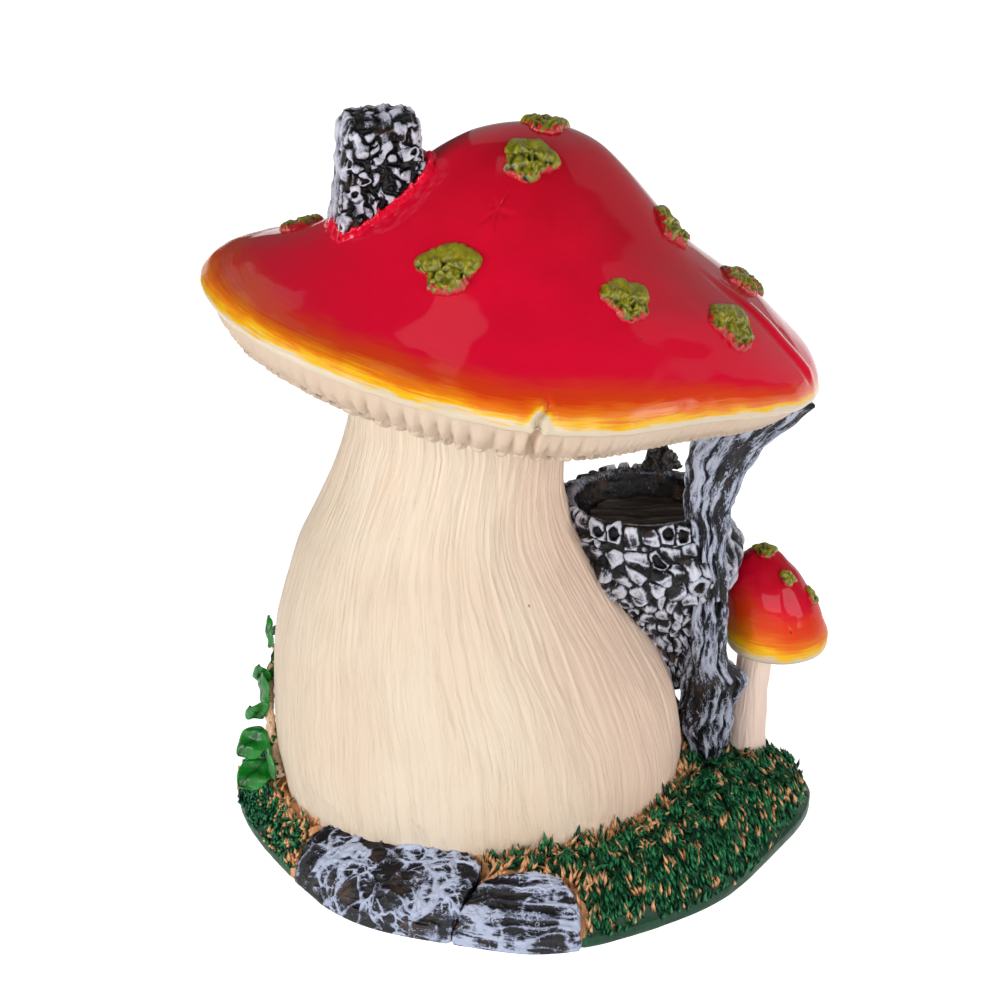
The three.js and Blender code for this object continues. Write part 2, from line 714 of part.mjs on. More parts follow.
function slabGeometry(corners, floor, seed, sides = 24) {
  const middle = new THREE.Vector2();
  corners.forEach(([x, y]) => middle.add(new THREE.Vector2(x / corners.length, y / corners.length)));
  const profile = [[0, 0], [1, 0], [1, 0.9], [0.93, 1], [0.5, 1], [0, 1]];
  return revolve(profile, sides, (angle, share, level) => {
    const reach = share * edgeReach(corners, middle, angle);
    const spot = new THREE.Vector2(middle.x + reach * Math.cos(angle), middle.y + reach * Math.sin(angle));
    spot.multiplyScalar(1 / Math.max(moundShare(spot.x, spot.y), 1));
    const swell = 0.5 * Math.sin(0.35 * spot.x + seed) * Math.cos(0.3 * spot.y + seed) * (1 - share);
    const top = turfHeight(spot.x, spot.y) + slabRise + swell;
    return new THREE.Vector3(spot.x, spot.y, floor + level * (top - floor));
  });
}

const leftSlabCorners = [[-60, -43], [-55, -37], [-45, -36], [-27, -42], [-15, -49.5], [-11, -58], [-14, -64],
  [-19, -70], [-24, -73.5], [-40, -68], [-50, -57]];
const rightSlabCorners = [[-15.5, -66.5], [-10.5, -61.5], [-1, -60], [9, -61.5], [13.5, -68], [13.5, -75], [4, -78],
  [-20, -77]];

// Upright frame on the stem's axis: X runs to the right hand of someone facing the wall, Y up, Z outwards
function facing(azimuth, z) {
  const normal = new THREE.Vector3(Math.cos(azimuth), Math.sin(azimuth), 0);
  const across = new THREE.Vector3(-Math.sin(azimuth), Math.cos(azimuth), 0);
  const centre = new THREE.Vector3(stemMiddle(z), stemY, 0);
  const basis = new THREE.Matrix4().makeBasis(across, new THREE.Vector3(0, 0, 1), normal);
  return new THREE.Matrix4().makeTranslation(centre.x, centre.y, z).multiply(basis);
}

function archShape(width, height) {
  const half = width / 2;
  const shape = new THREE.Shape();
  shape.moveTo(-half, 0);
  shape.lineTo(half, 0);
  shape.lineTo(half, height - half);
  shape.absarc(0, height - half, half, 0, Math.PI, false);
  shape.closePath();
  return shape;
}

const doorFrame = facing(doorAzimuth, doorSill);
const doorFace = stemSpan(doorSill + doorHeight / 2)[1] - doorRecess;
const outside = 30; // length of a cutting prism, past the stem's skin

function atDoor(geometry, depth) {
  geometry.translate(0, 0, depth);
  return moved(geometry, doorFrame);
}

function doorPocket() {
  return atDoor(extrude(archShape(doorWidth + 2 * seatGap, doorHeight + seatGap), outside),
    doorFace - doorThickness - seatGap);
}

function doorLeaf() {
  return atDoor(extrude(archShape(doorWidth, doorHeight), doorThickness), doorFace - doorThickness);
}

function doorSurround(stemNear, stemFar, ...others) {
  const inner = archShape(doorWidth, doorHeight);
  const outer = archShape(doorWidth + 2 * surroundWidth, doorHeight + surroundWidth);
  const ring = cut(
    atDoor(extrude(outer, outside), doorFace - surroundBedding),
    moved(extrude(inner, 2 * outside).translate(0, 0, doorFace - outside), doorFrame),
  );
  return cut(common(ring, stemFar), stemNear, ...others);
}

function strapGeometry(height) {
  const shape = new THREE.Shape();
  shape.moveTo(0, -strapWidth / 2);
  shape.lineTo(strapLength * 0.7, -strapWidth / 4);
  shape.lineTo(strapLength, 0);
  shape.lineTo(strapLength * 0.7, strapWidth / 4);
  shape.lineTo(0, strapWidth / 2);
  shape.closePath();
  const strap = extrude(shape, strapThickness);
  strap.translate(1 - doorWidth / 2, height, 0);
  return atDoor(strap, doorFace + seatGap);
}

function knobGeometry() {
  const knob = revolve([[0, 0], [0.5, 0], [0.45, 0.4], [0.95, 0.6], [1, 0.8], [0.7, 1], [0, 1]], 12,
    (angle, share, level) => new THREE.Vector3(share * knobRadius * Math.cos(angle),
      share * knobRadius * Math.sin(angle), level * knobLength));
  knob.translate(doorWidth / 2 - knobInset, doorHeight * knobShare, 0);
  return atDoor(knob, doorFace + seatGap);
}

const windowPlace = facing(doorAzimuth, windowHeight);
const windowFace = stemSpan(windowHeight)[1] - windowRecess;

function discAt(radius, depth, from) {
  const disc = new THREE.CylinderGeometry(radius, radius, depth, 28);
  disc.rotateX(Math.PI / 2);
  disc.translate(0, 0, from + depth / 2);
  return moved(disc, windowPlace);
}

function windowSurround(stemNear, stemFar) {
  const ring = cut(discAt(windowRadius + windowFrame, outside, windowFace - 1),
    discAt(windowRadius, 2 * outside, windowFace - outside));
  return cut(common(ring, stemFar), stemNear);
}

function windowBars() {
  const length = 2 * (windowRadius - 2 * seatGap);
  const upright = new THREE.BoxGeometry(barWidth, length, barWidth);
  const level = new THREE.BoxGeometry(length, barWidth, barWidth);
  const cross = join(upright, level);
  cross.translate(0, 0, windowFace + seatGap + barWidth / 2);
  return moved(cross, windowPlace);
}

function stepGeometry(stemNear) {
  const reach = stepReach + stepTuck;
  const deep = stepHeight + stepBedding;
  const blank = new THREE.BoxGeometry(stepWidth, deep, reach, 4, 1, 3);
  blank.translate(0, -deep / 2 - seatGap, doorFace + wallAtStep + reach / 2);
  return cut(moved(blank, doorFrame), stemNear);
}

function pathStone(distance, aside, seed) {
  const way = new THREE.Vector3(0, 0, distance);
  way.x = aside;
  const centre = way.applyMatrix4(doorFrame);
  const corners = [];
  for (let i = 0; i < 7; i += 1) {
    const angle = (i / 7) * 2 * Math.PI + seed;
    const reach = pathStoneRadius * (1 + 0.14 * Math.sin(3 * angle + seed));
    corners.push([centre.x + 1.15 * reach * Math.cos(angle), centre.y + 0.8 * reach * Math.sin(angle)]);
  }
  return slabGeometry(corners, turfHeight(centre.x, centre.y) - pathStoneDepth, seed, 14);
}

// Ivy: a vine that climbs the stem and goes round to its far side. Rows of [azimuth in degrees, height].
const vineRoute = [[190, 14], [188, 20], [186, 27], [182, 34], [175, 40], [163, 46], [149, 52]];

function vinePoint(share, proud) {
  const along = vineRoute.map(([azimuth, height], index) => [index / (vineRoute.length - 1), azimuth, height]);
  const azimuth = readCurve(along.map(([at, value]) => [at, value]), share);
  const height = readCurve(along.map(([at, , value]) => [at, value]), share);
  return stemPoint(THREE.MathUtils.degToRad(azimuth), height, proud);
}

function vineGeometry() {
  const points = [];
  for (let i = 0; i <= vineSteps; i += 1) points.push(vinePoint(i / vineSteps, seatGap + vineStandOff * vineRadius));
  const path = new THREE.CatmullRomCurve3(points);
  const ring = new THREE.Shape();
  for (let i = 0; i < vineSides; i += 1) {
    const angle = (i / vineSides) * 2 * Math.PI;
    ring[i === 0 ? 'moveTo' : 'lineTo'](vineRadius * Math.cos(angle), vineRadius * Math.sin(angle));
  }
  ring.closePath();
  return new THREE.ExtrudeGeometry(ring, { steps: vineSteps, bevelEnabled: false, extrudePath: path });
}

// Leaf from its stalk end along +X, with +Z as its upper face
function leafBlank(length, width) {
  const leaf = closedMesh(new THREE.SphereGeometry(1, 8, 7).rotateZ(-Math.PI / 2));
  const corners = leaf.getAttribute('position');
  const curl = leafCurl * length;
  for (let i = 0; i < corners.count; i += 1) {
    const share = (corners.getX(i) + 1) / 2;
    const outline = leafOutline(share);
    const side = corners.getY(i) / Math.sqrt(Math.max(1 - corners.getX(i) ** 2, 1e-6));
    corners.setXYZ(i,
      share * length,
      (side * outline * width) / 2,
      (corners.getZ(i) * leafThickness) / 2 - curl * share * share + 0.25 * curl * side ** 2 * outline);
  }
  return leaf;
}

function leafOutline(share) {
  return Math.max(Math.sin(Math.PI * share ** 0.8), 0) ** 0.7;
}

// Rows of [share along the vine, way from stalk to tip in mm, width, way that its face looks]
const leafRows = [[0.14, [-7.8, -8, -3.2], 9.5, [-0.3, -0.7, 0.65]], [0.33, [-7.8, -4, -5.2], 9.5, [-0.4, -0.6, 0.7]],
  [0.26, [1.2, -9.8, -6.6], 5, [-1, -0.2, 0.1]], [0.4, [-3.2, -3, 4], 7.5, [-0.3, -0.9, 0.3]],
  [0.58, [-1.6, -1.5, 6], 5.5, [-0.4, -0.9, 0.2]], [0.48, [-0.9, -3, 10], 6.5, [-0.9, -0.5, 0]],
  [0.06, [-8, 4, 1.5], 7, [-0.3, 0, 1]], [0.76, [-2.5, 7, 6], 6, [-0.8, 0.2, 0.4]],
  [0.88, [-3, 6, -5.5], 6.5, [-0.7, 0.5, 0.5]], [0.98, [1.5, 6, 8], 6.5, [-0.6, 0.8, 0.3]]];

function leafGeometry([share, reach, width, looksTo]) {
  const root = vinePoint(share, (vineStandOff + 1) * vineRadius + leafStandOff);
  const way = new THREE.Vector3(...reach);
  const length = way.length();
  way.normalize();
  const across = new THREE.Vector3(...looksTo).cross(way).normalize();
  const up = new THREE.Vector3().crossVectors(way, across).normalize();
  const basis = new THREE.Matrix4().makeBasis(way, across, up).setPosition(root);
  return clearOfTurf(moved(leafBlank(length, width), basis));
}

// A leaf that would reach into the turf is lifted until it clears it
function clearOfTurf(leaf) {
  const corners = leaf.getAttribute('position');
  let lift = 0;
  for (let i = 0; i < corners.count; i += 1) {
    const [x, y, z] = [corners.getX(i), corners.getY(i), corners.getZ(i)];
    if (moundShare(x, y) < 1) lift = Math.max(lift, turfHeight(x, y) + tuftHeight + seatGap - z);
  }
  return leaf.translate(0, 0, lift);
}

// Finishes
const finishes = {
  turf: { color: 0x2c5a33, roughness: 0.85 },
  slate: { color: 0x4a4f5c, roughness: 0.6 },
  cream: { color: 0xe8d5b5, roughness: 0.7 },
  gills: { color: 0xe6cfa8, roughness: 0.75 },
  redGloss: { color: 0xc4001d, roughness: 0.2 },
  stone: { color: 0x5d6470, roughness: 0.55 },
  moss: { color: 0x7c8a2a, roughness: 0.8 },
  darkWood: { color: 0x2b211c, roughness: 0.6 },
  bark: { color: 0x565b68, roughness: 0.55 },
  smallStem: { color: 0xe6c7b4, roughness: 0.6 },
  leaf: { color: 0x0f6a25, roughness: 0.35 },
  doorWood: { color: 0x6b4426, roughness: 0.6 },
  iron: { color: 0x2a2a2c, roughness: 0.5, metalness: 0.6 },
  brass: { color: 0xb08d3c, roughness: 0.35, metalness: 0.9 },
  pane: { color: 0xf0c860, roughness: 0.25 },
};

const house = new THREE.Group();
const cap = new THREE.Group();
cap.position.set(capX, capY, capHeight);
cap.rotation.y = capTilt;
house.add(cap);

function addPiece(name, geometry, finish, parent = house) {
  const { color, roughness, metalness = 0 } = finishes[finish];
  const piece = new THREE.Mesh(closedMesh(geometry), new THREE.MeshStandardMaterial({ color, roughness, metalness }));
  piece.name = name;
  parent.add(piece);
}

function toCapFrame(geometry) {
  return moved(geometry, capFrame.clone().invert());
}

function toHouseFrame(geometry) {
  return moved(geometry, capFrame);
}

// Shapes that several pieces seat on
const stemWithGap = stemGeometry(seatGap);
const gills = gillDisc();
const gillsWithGap = toHouseFrame(offset(gills, seatGap));
const roof = roofUnderFrame();
const roofWithGap = toHouseFrame(offset(roofBlank(), seatGap));
const postWithGap = postGeometry(seatGap);
const smallStemWithGap = smallStemGeometry(seatGap);

// Slabs, step and path stones, and the mound that they are set in
const leftSlab = cut(slabGeometry(leftSlabCorners, 0, 1), stemWithGap);
const rightSlab = cut(slabGeometry(rightSlabCorners, 0, 2), offset(leftSlab, seatGap));
const step = stepGeometry(stemWithGap);
const pathStones = pathPlaces.map(([distance, aside], index) => pathStone(distance, aside, index));
const setInTurf = [leftSlab, rightSlab, step, ...pathStones].map((piece) => offset(piece, seatGap));
const mound = cut(moundBlank(), stemWithGap, ...setInTurf, postWithGap, smallStemWithGap);
const moundWithGap = offset(moundBlank(), seatGap);
addPiece('ground_mound', mound, 'turf');
addPiece('front_slab_left', leftSlab, 'slate');
addPiece('front_slab_right', rightSlab, 'slate');
addPiece('door_step', step, 'slate');
pathStones.forEach((stone, index) => addPiece(`path_stone_${index + 1}`, stone, 'slate'));

// Stem with the pockets of the door and the window, and what fits in them
const doorStone = stemGeometry(surroundProud + seatGap);
const windowStone = stemGeometry(windowProud + seatGap);
const windowPocket = discAt(windowRadius + seatGap, outside, windowFace - paneThickness - seatGap);
addPiece('stem', cut(stemGeometry(), doorPocket(), windowPocket), 'cream');
addPiece('door_leaf', doorLeaf(), 'doorWood');
addPiece('door_surround', doorSurround(stemWithGap, doorStone, moundWithGap, offset(step, seatGap)), 'stone');
addPiece('door_strap_lower', strapGeometry(doorHeight * 0.2), 'iron');
addPiece('door_strap_upper', strapGeometry(doorHeight * 0.66), 'iron');
addPiece('door_knob', knobGeometry(), 'brass');
addPiece('window_frame', windowSurround(stemWithGap, windowStone), 'doorWood');
addPiece('window_pane', discAt(windowRadius, paneThickness, windowFace - paneThickness), 'pane');
addPiece('window_bars', windowBars(), 'doorWood');

// Gill disc, roof and chimney
addPiece('cap_gills', cut(gills, toCapFrame(stemWithGap)), 'gills', cap);
const raisedRoof = (lift) => moved(roofBlank(), new THREE.Matrix4().makeTranslation(0, 0, lift));
const chimney = cut(toCapFrame(chimneyGeometry()), raisedRoof(-chimneyDepth));
const chimneyWithGap = toCapFrame(chimneyGeometry(seatGap));
const chimneySocket = cut(chimneyWithGap, raisedRoof(-chimneyDepth - seatGap));
const collarSleeve = cut(toCapFrame(chimneyGeometry(seatGap + collarWidth, collarWidth)), chimneyWithGap,
  raisedRoof(seatGap));
addPiece('cap_roof', cut(roof, chimneySocket), 'redGloss', cap);
addPiece('chimney_stack', chimney, 'stone', cap);
addPiece('chimney_collar', common(collarSleeve, raisedRoof(seatGap + collarHeight)), 'redGloss', cap);
mossPlaces.forEach(([x, y, size], index) => {
  const patch = mossPatch(size * mossRadius, mossHeight, overSurface(roofPoint, x, y), index);
  addPiece(`moss_patch_${index + 1}`, patch, 'moss', cap);
});

// Balcony, tree post and small mushroom
const bowl = cut(bowlBlank(), bowlHollow(), stemWithGap, postWithGap);
addPiece('balcony_wall', bowl, 'stone');
addPiece('balcony_deck', cut(deckGeometry(), stemWithGap), 'darkWood');
addPiece('balcony_stub', stubGeometry(), 'darkWood');
addPiece('tree_post', cut(postGeometry(), gillsWithGap, roofWithGap, stemWithGap), 'bark');
addPiece('small_mushroom_stem', smallStemGeometry(), 'smallStem');
addPiece('small_mushroom_cap', cut(smallCapBlank(), smallStemWithGap), 'redGloss');
smallMossPlaces.forEach(([x, y, size], index) => {
  const over = overSurface(smallCapPoint, x, y);
  const place = (u, v, lift) => leanSmallCap(over(u, v, lift));
  addPiece(`small_moss_${index + 1}`, mossPatch(size * smallMossRadius, smallMossHeight, place, index), 'moss');
});

// Ivy
addPiece('ivy_vine', vineGeometry(), 'leaf');
leafRows.forEach((row, index) => addPiece(`ivy_leaf_${index + 1}`, leafGeometry(row), 'leaf'));

export default house;
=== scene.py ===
# Looks of the mushroom fairy house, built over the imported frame.
# Shapes are worked out in millimetres and go into Blender in metres.
import bpy
import math
import numpy as np
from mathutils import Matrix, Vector


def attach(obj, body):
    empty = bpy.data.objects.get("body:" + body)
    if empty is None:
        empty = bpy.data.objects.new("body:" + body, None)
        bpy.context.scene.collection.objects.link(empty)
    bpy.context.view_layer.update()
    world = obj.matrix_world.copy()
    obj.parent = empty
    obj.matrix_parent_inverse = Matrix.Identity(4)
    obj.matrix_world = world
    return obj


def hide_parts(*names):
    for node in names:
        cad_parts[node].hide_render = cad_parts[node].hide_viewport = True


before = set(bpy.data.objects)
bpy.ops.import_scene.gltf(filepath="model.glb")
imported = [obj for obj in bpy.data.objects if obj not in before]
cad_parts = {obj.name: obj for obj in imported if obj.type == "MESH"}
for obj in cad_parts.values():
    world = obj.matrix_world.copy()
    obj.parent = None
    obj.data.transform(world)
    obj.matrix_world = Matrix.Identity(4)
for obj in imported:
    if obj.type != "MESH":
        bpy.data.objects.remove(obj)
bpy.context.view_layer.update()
print("frame loaded")


# Curves and masks

def readCurve(rows, at):
    # smooth curve through rows of (position, value), flat beyond both ends
    rows = np.array(rows, float)
    xs, ys = rows[:, 0], rows[:, 1]
    slope = np.gradient(ys, xs)
    slope[1:-1] = (ys[2:] - ys[:-2]) / (xs[2:] - xs[:-2])
    held = np.clip(np.asarray(at, float), xs[0], xs[-1])
    start = np.clip(np.searchsorted(xs, held, side="right") - 1, 0, len(xs) - 2)
    span = xs[start + 1] - xs[start]
    s = (held - xs[start]) / span
    return ((2 * s**3 - 3 * s**2 + 1) * ys[start] + (s**3 - 2 * s**2 + s) * span * slope[start]
            + (3 * s**2 - 2 * s**3) * ys[start + 1] + (s**3 - s**2) * span * slope[start + 1])


def smoothStep(low, high, value):
    share = np.clip((np.asarray(value, float) - low) / (high - low), 0, 1)
    return share * share * (3 - 2 * share)


def bell(value):
    return np.exp(-(value**2))


def bumpAt(angle, middle, spread):
    # 1 in one direction, falling off to both sides of it
    return bell(np.arctan2(np.sin(angle - middle), np.cos(angle - middle)) / spread)


def turns(count):
    # directions all the way round
    return np.linspace(-np.pi, np.pi, count, endpoint=False)


def stack(*parts):
    return np.stack(np.broadcast_arrays(*parts), -1)


def circle(reach, angle, height, middle=(0, 0)):
    # the reach is one length, or one along x and one along y
    across, along = reach if isinstance(reach, tuple) else (reach, reach)
    return stack(middle[0] + across * np.cos(angle), middle[1] + along * np.sin(angle), height)


def columnsOf(rows):
    # rows of (share, level) as a column of shares and a column of levels
    return np.array(rows, float).T[..., None]


def unit(vectors):
    return vectors / np.linalg.norm(vectors, axis=-1, keepdims=True)


def boxed(value, power):
    # squares up a circle, given a sine or a cosine
    return np.sign(value) * np.abs(value) ** power


# Noise over points, always the same for the same seed

def scramble(cells, seed):
    mixed = seed * 7919 + 101
    for axis, factor in zip(range(cells.shape[-1]), (374761393, 668265263, 1442695041)):
        mixed = mixed + cells[..., axis] * factor
    mixed = mixed & 0xffffffff
    mixed = ((mixed ^ (mixed >> 15)) * 1274126177) & 0xffffffff
    mixed = ((mixed ^ (mixed >> 13)) * 1103515245) & 0xffffffff
    return mixed ^ (mixed >> 16)


def noise(points, size, seed):
    # gradient noise, about -1 to 1; size may be one length or one for each axis
    scaled = points / size
    base = np.floor(scaled)
    inside = scaled - base
    base = base.astype(np.int64)
    ease = inside**3 * (inside * (inside * 6 - 15) + 10)
    total = 0
    for corner in np.ndindex(2, 2, 2):
        picked = scramble(base + np.array(corner), seed)
        away = inside - np.array(corner)
        slopes = [((picked >> shift) & 1023) / 511.5 - 1 for shift in (0, 10, 20)]
        weight = np.prod(np.where(corner, ease, 1 - ease), axis=-1)
        total = total + weight * sum(slopes[axis] * away[..., axis] for axis in range(3))
    return total * 1.5


def layered(points, size, layers, seed):
    total, reach = 0, 0
    for layer in range(layers):
        share = 0.5**layer
        total = total + share * noise(points, np.asarray(size, float) * share, seed + layer)
        reach += share
    return total / reach * 1.4


def cells(points, size, seed, jitter=0.8, around=None):
    # distance to the nearest and the next cell centre, a random number for the cell, the way from its centre
    scaled = points / size
    base = np.floor(scaled).astype(np.int64)
    near = np.full(scaled.shape[:-1], 9.0)
    second = near.copy()
    pick = near.copy()
    way = np.zeros(scaled.shape)
    for step in np.ndindex(*(3,) * scaled.shape[-1]):
        cell = base + np.array(step) - 1
        named = cell.copy()
        if around:
            named[..., 0] %= around
        picked = scramble(named, seed)
        shifts = (0, 10, 20)[:cell.shape[-1]]
        offset = np.stack([((picked >> shift) & 1023) / 1023 - 0.5 for shift in shifts], -1)
        fromCentre = scaled - (cell + 0.5 + jitter * offset)
        away = np.linalg.norm(fromCentre, axis=-1)
        closer = away < near
        second = np.where(closer, near, np.minimum(second, away))
        pick = np.where(closer, ((picked >> 7) & 4095) / 4095, pick)
        way = np.where(closer[..., None], fromCentre, way)
        near = np.where(closer, away, near)
    return near, second, pick, way


def crests(points, size, seed, sharp):
    # thin winding lines, 1 on a line
    return bell(noise(points, size, seed) / sharp)


def warped(points, size, reach, seed):
    # the same points, each pushed about a little
    return points + reach * stack(*[noise(points, size, seed + axis) for axis in range(3)])


# Meshes

def gridNormals(grid):
    across = np.roll(grid, -1, 1) - np.roll(grid, 1, 1)
    upward = np.gradient(grid, axis=0)
    normal = np.cross(across, upward)
    return normal / np.maximum(np.linalg.norm(normal, axis=-1, keepdims=True), 1e-9)


def pushed(grid, lift):
    return grid + gridNormals(grid) * lift[..., None]


def gridFaces(rows, columns, closed=False):
    # a grid that runs round; a closed one also joins its last row to its first
    i, j = np.meshgrid(np.arange(rows if closed else rows - 1), np.arange(columns), indexing="ij")
    after, above = (j + 1) % columns, (i + 1) % rows
    corners = [i * columns + j, i * columns + after, above * columns + after, above * columns + j]
    return np.stack(corners, -1).reshape(-1, 4)


def hoop(grid, marks):
    # a grid that closes both ways
    count = grid.shape[0] * grid.shape[1]
    flat = {name: values.reshape(count, *values.shape[2:]) for name, values in marks.items()}
    return grid.reshape(count, 3), [gridFaces(*grid.shape[:2], closed=True)], flat


def closedGrid(grid, marks):
    # a grid that runs round, from its bottom middle over its outside to its top middle
    rows, columns = grid.shape[:2]
    count = rows * columns
    points = np.concatenate([grid.reshape(-1, 3), grid[0].mean(0)[None], grid[-1].mean(0)[None]])
    j = np.arange(columns)
    after = (j + 1) % columns
    last = (rows - 1) * columns
    low = np.stack([np.full(columns, count), after, j], -1)
    high = np.stack([np.full(columns, count + 1), last + j, last + after], -1)
    flat = {}
    for name, values in marks.items():
        values = np.asarray(values, float)
        ends = [values[0].mean(0)[None], values[-1].mean(0)[None]]
        flat[name] = np.concatenate([values.reshape(count, *values.shape[2:]), *ends])
    return points, [gridFaces(rows, columns), low, high], flat


def joined(parts):
    # several (points, faces, marks) as one
    points, faces, marks, count = [], [], {}, 0
    names = parts[0][2].keys()
    for partPoints, partFaces, partMarks in parts:
        points.append(partPoints)
        faces += [part + count for part in partFaces]
        for name in names:
            marks.setdefault(name, []).append(partMarks[name])
        count += len(partPoints)
    return np.concatenate(points), faces, {name: np.concatenate(values) for name, values in marks.items()}


def addPiece(nodeName, shape, slotName, paint=None):
    # a mesh that stands for the solid of this name, in the paint of its slot if no other is given
    points, faces, marks = shape
    mesh = bpy.data.meshes.new(nodeName + "_look")
    corners = np.concatenate([part.ravel() for part in faces])
    counts = np.concatenate([np.full(len(part), part.shape[1]) for part in faces])
    starts = np.concatenate([[0], np.cumsum(counts)[:-1]])
    mesh.vertices.add(len(points))
    mesh.vertices.foreach_set("co", (points / 1000).astype(np.float32).ravel())
    mesh.loops.add(len(corners))
    mesh.loops.foreach_set("vertex_index", corners.astype(np.int32))
    mesh.polygons.add(len(counts))
    mesh.polygons.foreach_set("loop_start", starts.astype(np.int32))
    mesh.polygons.foreach_set("use_smooth", np.ones(len(counts), bool))
    for markName, values in marks.items():
        kind, field = ("FLOAT_VECTOR", "vector") if values.ndim > 1 else ("FLOAT", "value")
        mark = mesh.attributes.new(markName, kind, "POINT")
        mark.data.foreach_set(field, values.astype(np.float32).ravel())
    mesh.update(calc_edges=True)
    mesh.validate()
    mesh.materials.append(paints[paint or slotName])
    piece = bpy.data.objects.new(nodeName + "_look", mesh)
    bpy.context.scene.collection.objects.link(piece)
    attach(piece, "root")
    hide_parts(nodeName)


# Materials

def addNode(tree, kind, inputs=None, **settings):
    made = tree.nodes.new(kind)
    for key, value in settings.items():
        setattr(made, key, value)
    for key, value in (inputs or {}).items():
        if isinstance(value, bpy.types.NodeSocket):
            tree.links.new(value, made.inputs[key])
        else:
            made.inputs[key].default_value = value
    return made


def stretched(tree, vector, scale):
    return addNode(tree, "ShaderNodeVectorMath", {0: vector, 1: scale}, operation="MULTIPLY").outputs[0]


def grain(tree, vector, scale, detail=4, roughness=0.6, distortion=0.0):
    # the scale is one number, or one for each axis
    if isinstance(scale, tuple):
        vector, scale = stretched(tree, vector, scale), 1.0
    inputs = {"Vector": vector, "Scale": scale, "Detail": detail, "Roughness": roughness,
              "Distortion": distortion}
    return addNode(tree, "ShaderNodeTexNoise", inputs).outputs["Fac"]


def maths(tree, operation, first, second=0.0, third=0.0):
    return addNode(tree, "ShaderNodeMath", {0: first, 1: second, 2: third}, operation=operation).outputs[0]


def swayed(tree, value, sway, amount):
    # the value, moved up and down by a grain
    return maths(tree, "MULTIPLY_ADD", maths(tree, "SUBTRACT", sway, 0.5), amount, value)


def spread(tree, value, low, high, toLow=0.0, toHigh=1.0):
    inputs = {"Value": value, "From Min": low, "From Max": high, "To Min": toLow, "To Max": toHigh}
    return addNode(tree, "ShaderNodeMapRange", inputs, interpolation_type="SMOOTHSTEP").outputs[0]


def vein(tree, value, width, middle=0.5):
    # 1 on the winding lines where a grain passes its middle
    return spread(tree, maths(tree, "ABSOLUTE", maths(tree, "SUBTRACT", value, middle)), 0.0, width, 1.0, 0.0)


def pinholes(tree, vector, scale, low, high):
    inputs = {"Vector": stretched(tree, vector, (scale,) * 3), "Scale": 1.0}
    spots = addNode(tree, "ShaderNodeTexVoronoi", inputs)
    return spread(tree, spots.outputs["Distance"], low, high, 1.0, 0.0)


def blend(tree, share, first, second):
    first, second = [(*colour, 1) if isinstance(colour, tuple) else colour for colour in (first, second)]
    return addNode(tree, "ShaderNodeMix", {0: share, 6: first, 7: second}, data_type="RGBA").outputs[2]


def ramp(tree, value, stops):
    made = addNode(tree, "ShaderNodeValToRGB", {"Fac": value})
    elements = made.color_ramp.elements
    while len(elements) < len(stops):
        elements.new(0.5)
    for element, (position, colour) in zip(elements, stops):
        element.position = position
        element.color = (*colour, 1)
    return made.outputs["Color"]


def bumps(tree, *layers):
    # each layer is (height, strength, distance in millimetres) and lies over the one before
    normal = None
    for height, strength, distance in layers:
        inputs = {"Height": height, "Strength": strength, "Distance": distance / 1000}
        if normal:
            inputs["Normal"] = normal
        normal = addNode(tree, "ShaderNodeBump", inputs).outputs[0]
    return normal


def newMaterial(name, settings, *marks):
    # the node tree, a function that wires the finished sockets, and the marks read from the mesh
    material = bpy.data.materials.new(name)
    material.use_nodes = True
    tree = material.node_tree
    shader = tree.nodes["Principled BSDF"]
    for key, value in settings.items():
        shader.inputs[key].default_value = value

    def finishWith(**sockets):
        for key, value in sockets.items():
            tree.links.new(value, shader.inputs[key.replace("_", " ")])
        return material

    def readMark(mark):
        made = addNode(tree, "ShaderNodeAttribute", attribute_name=mark)
        return made.outputs["Vector" if mark == "flow" else "Fac"]

    return tree, finishWith, *[readMark(mark) for mark in marks]
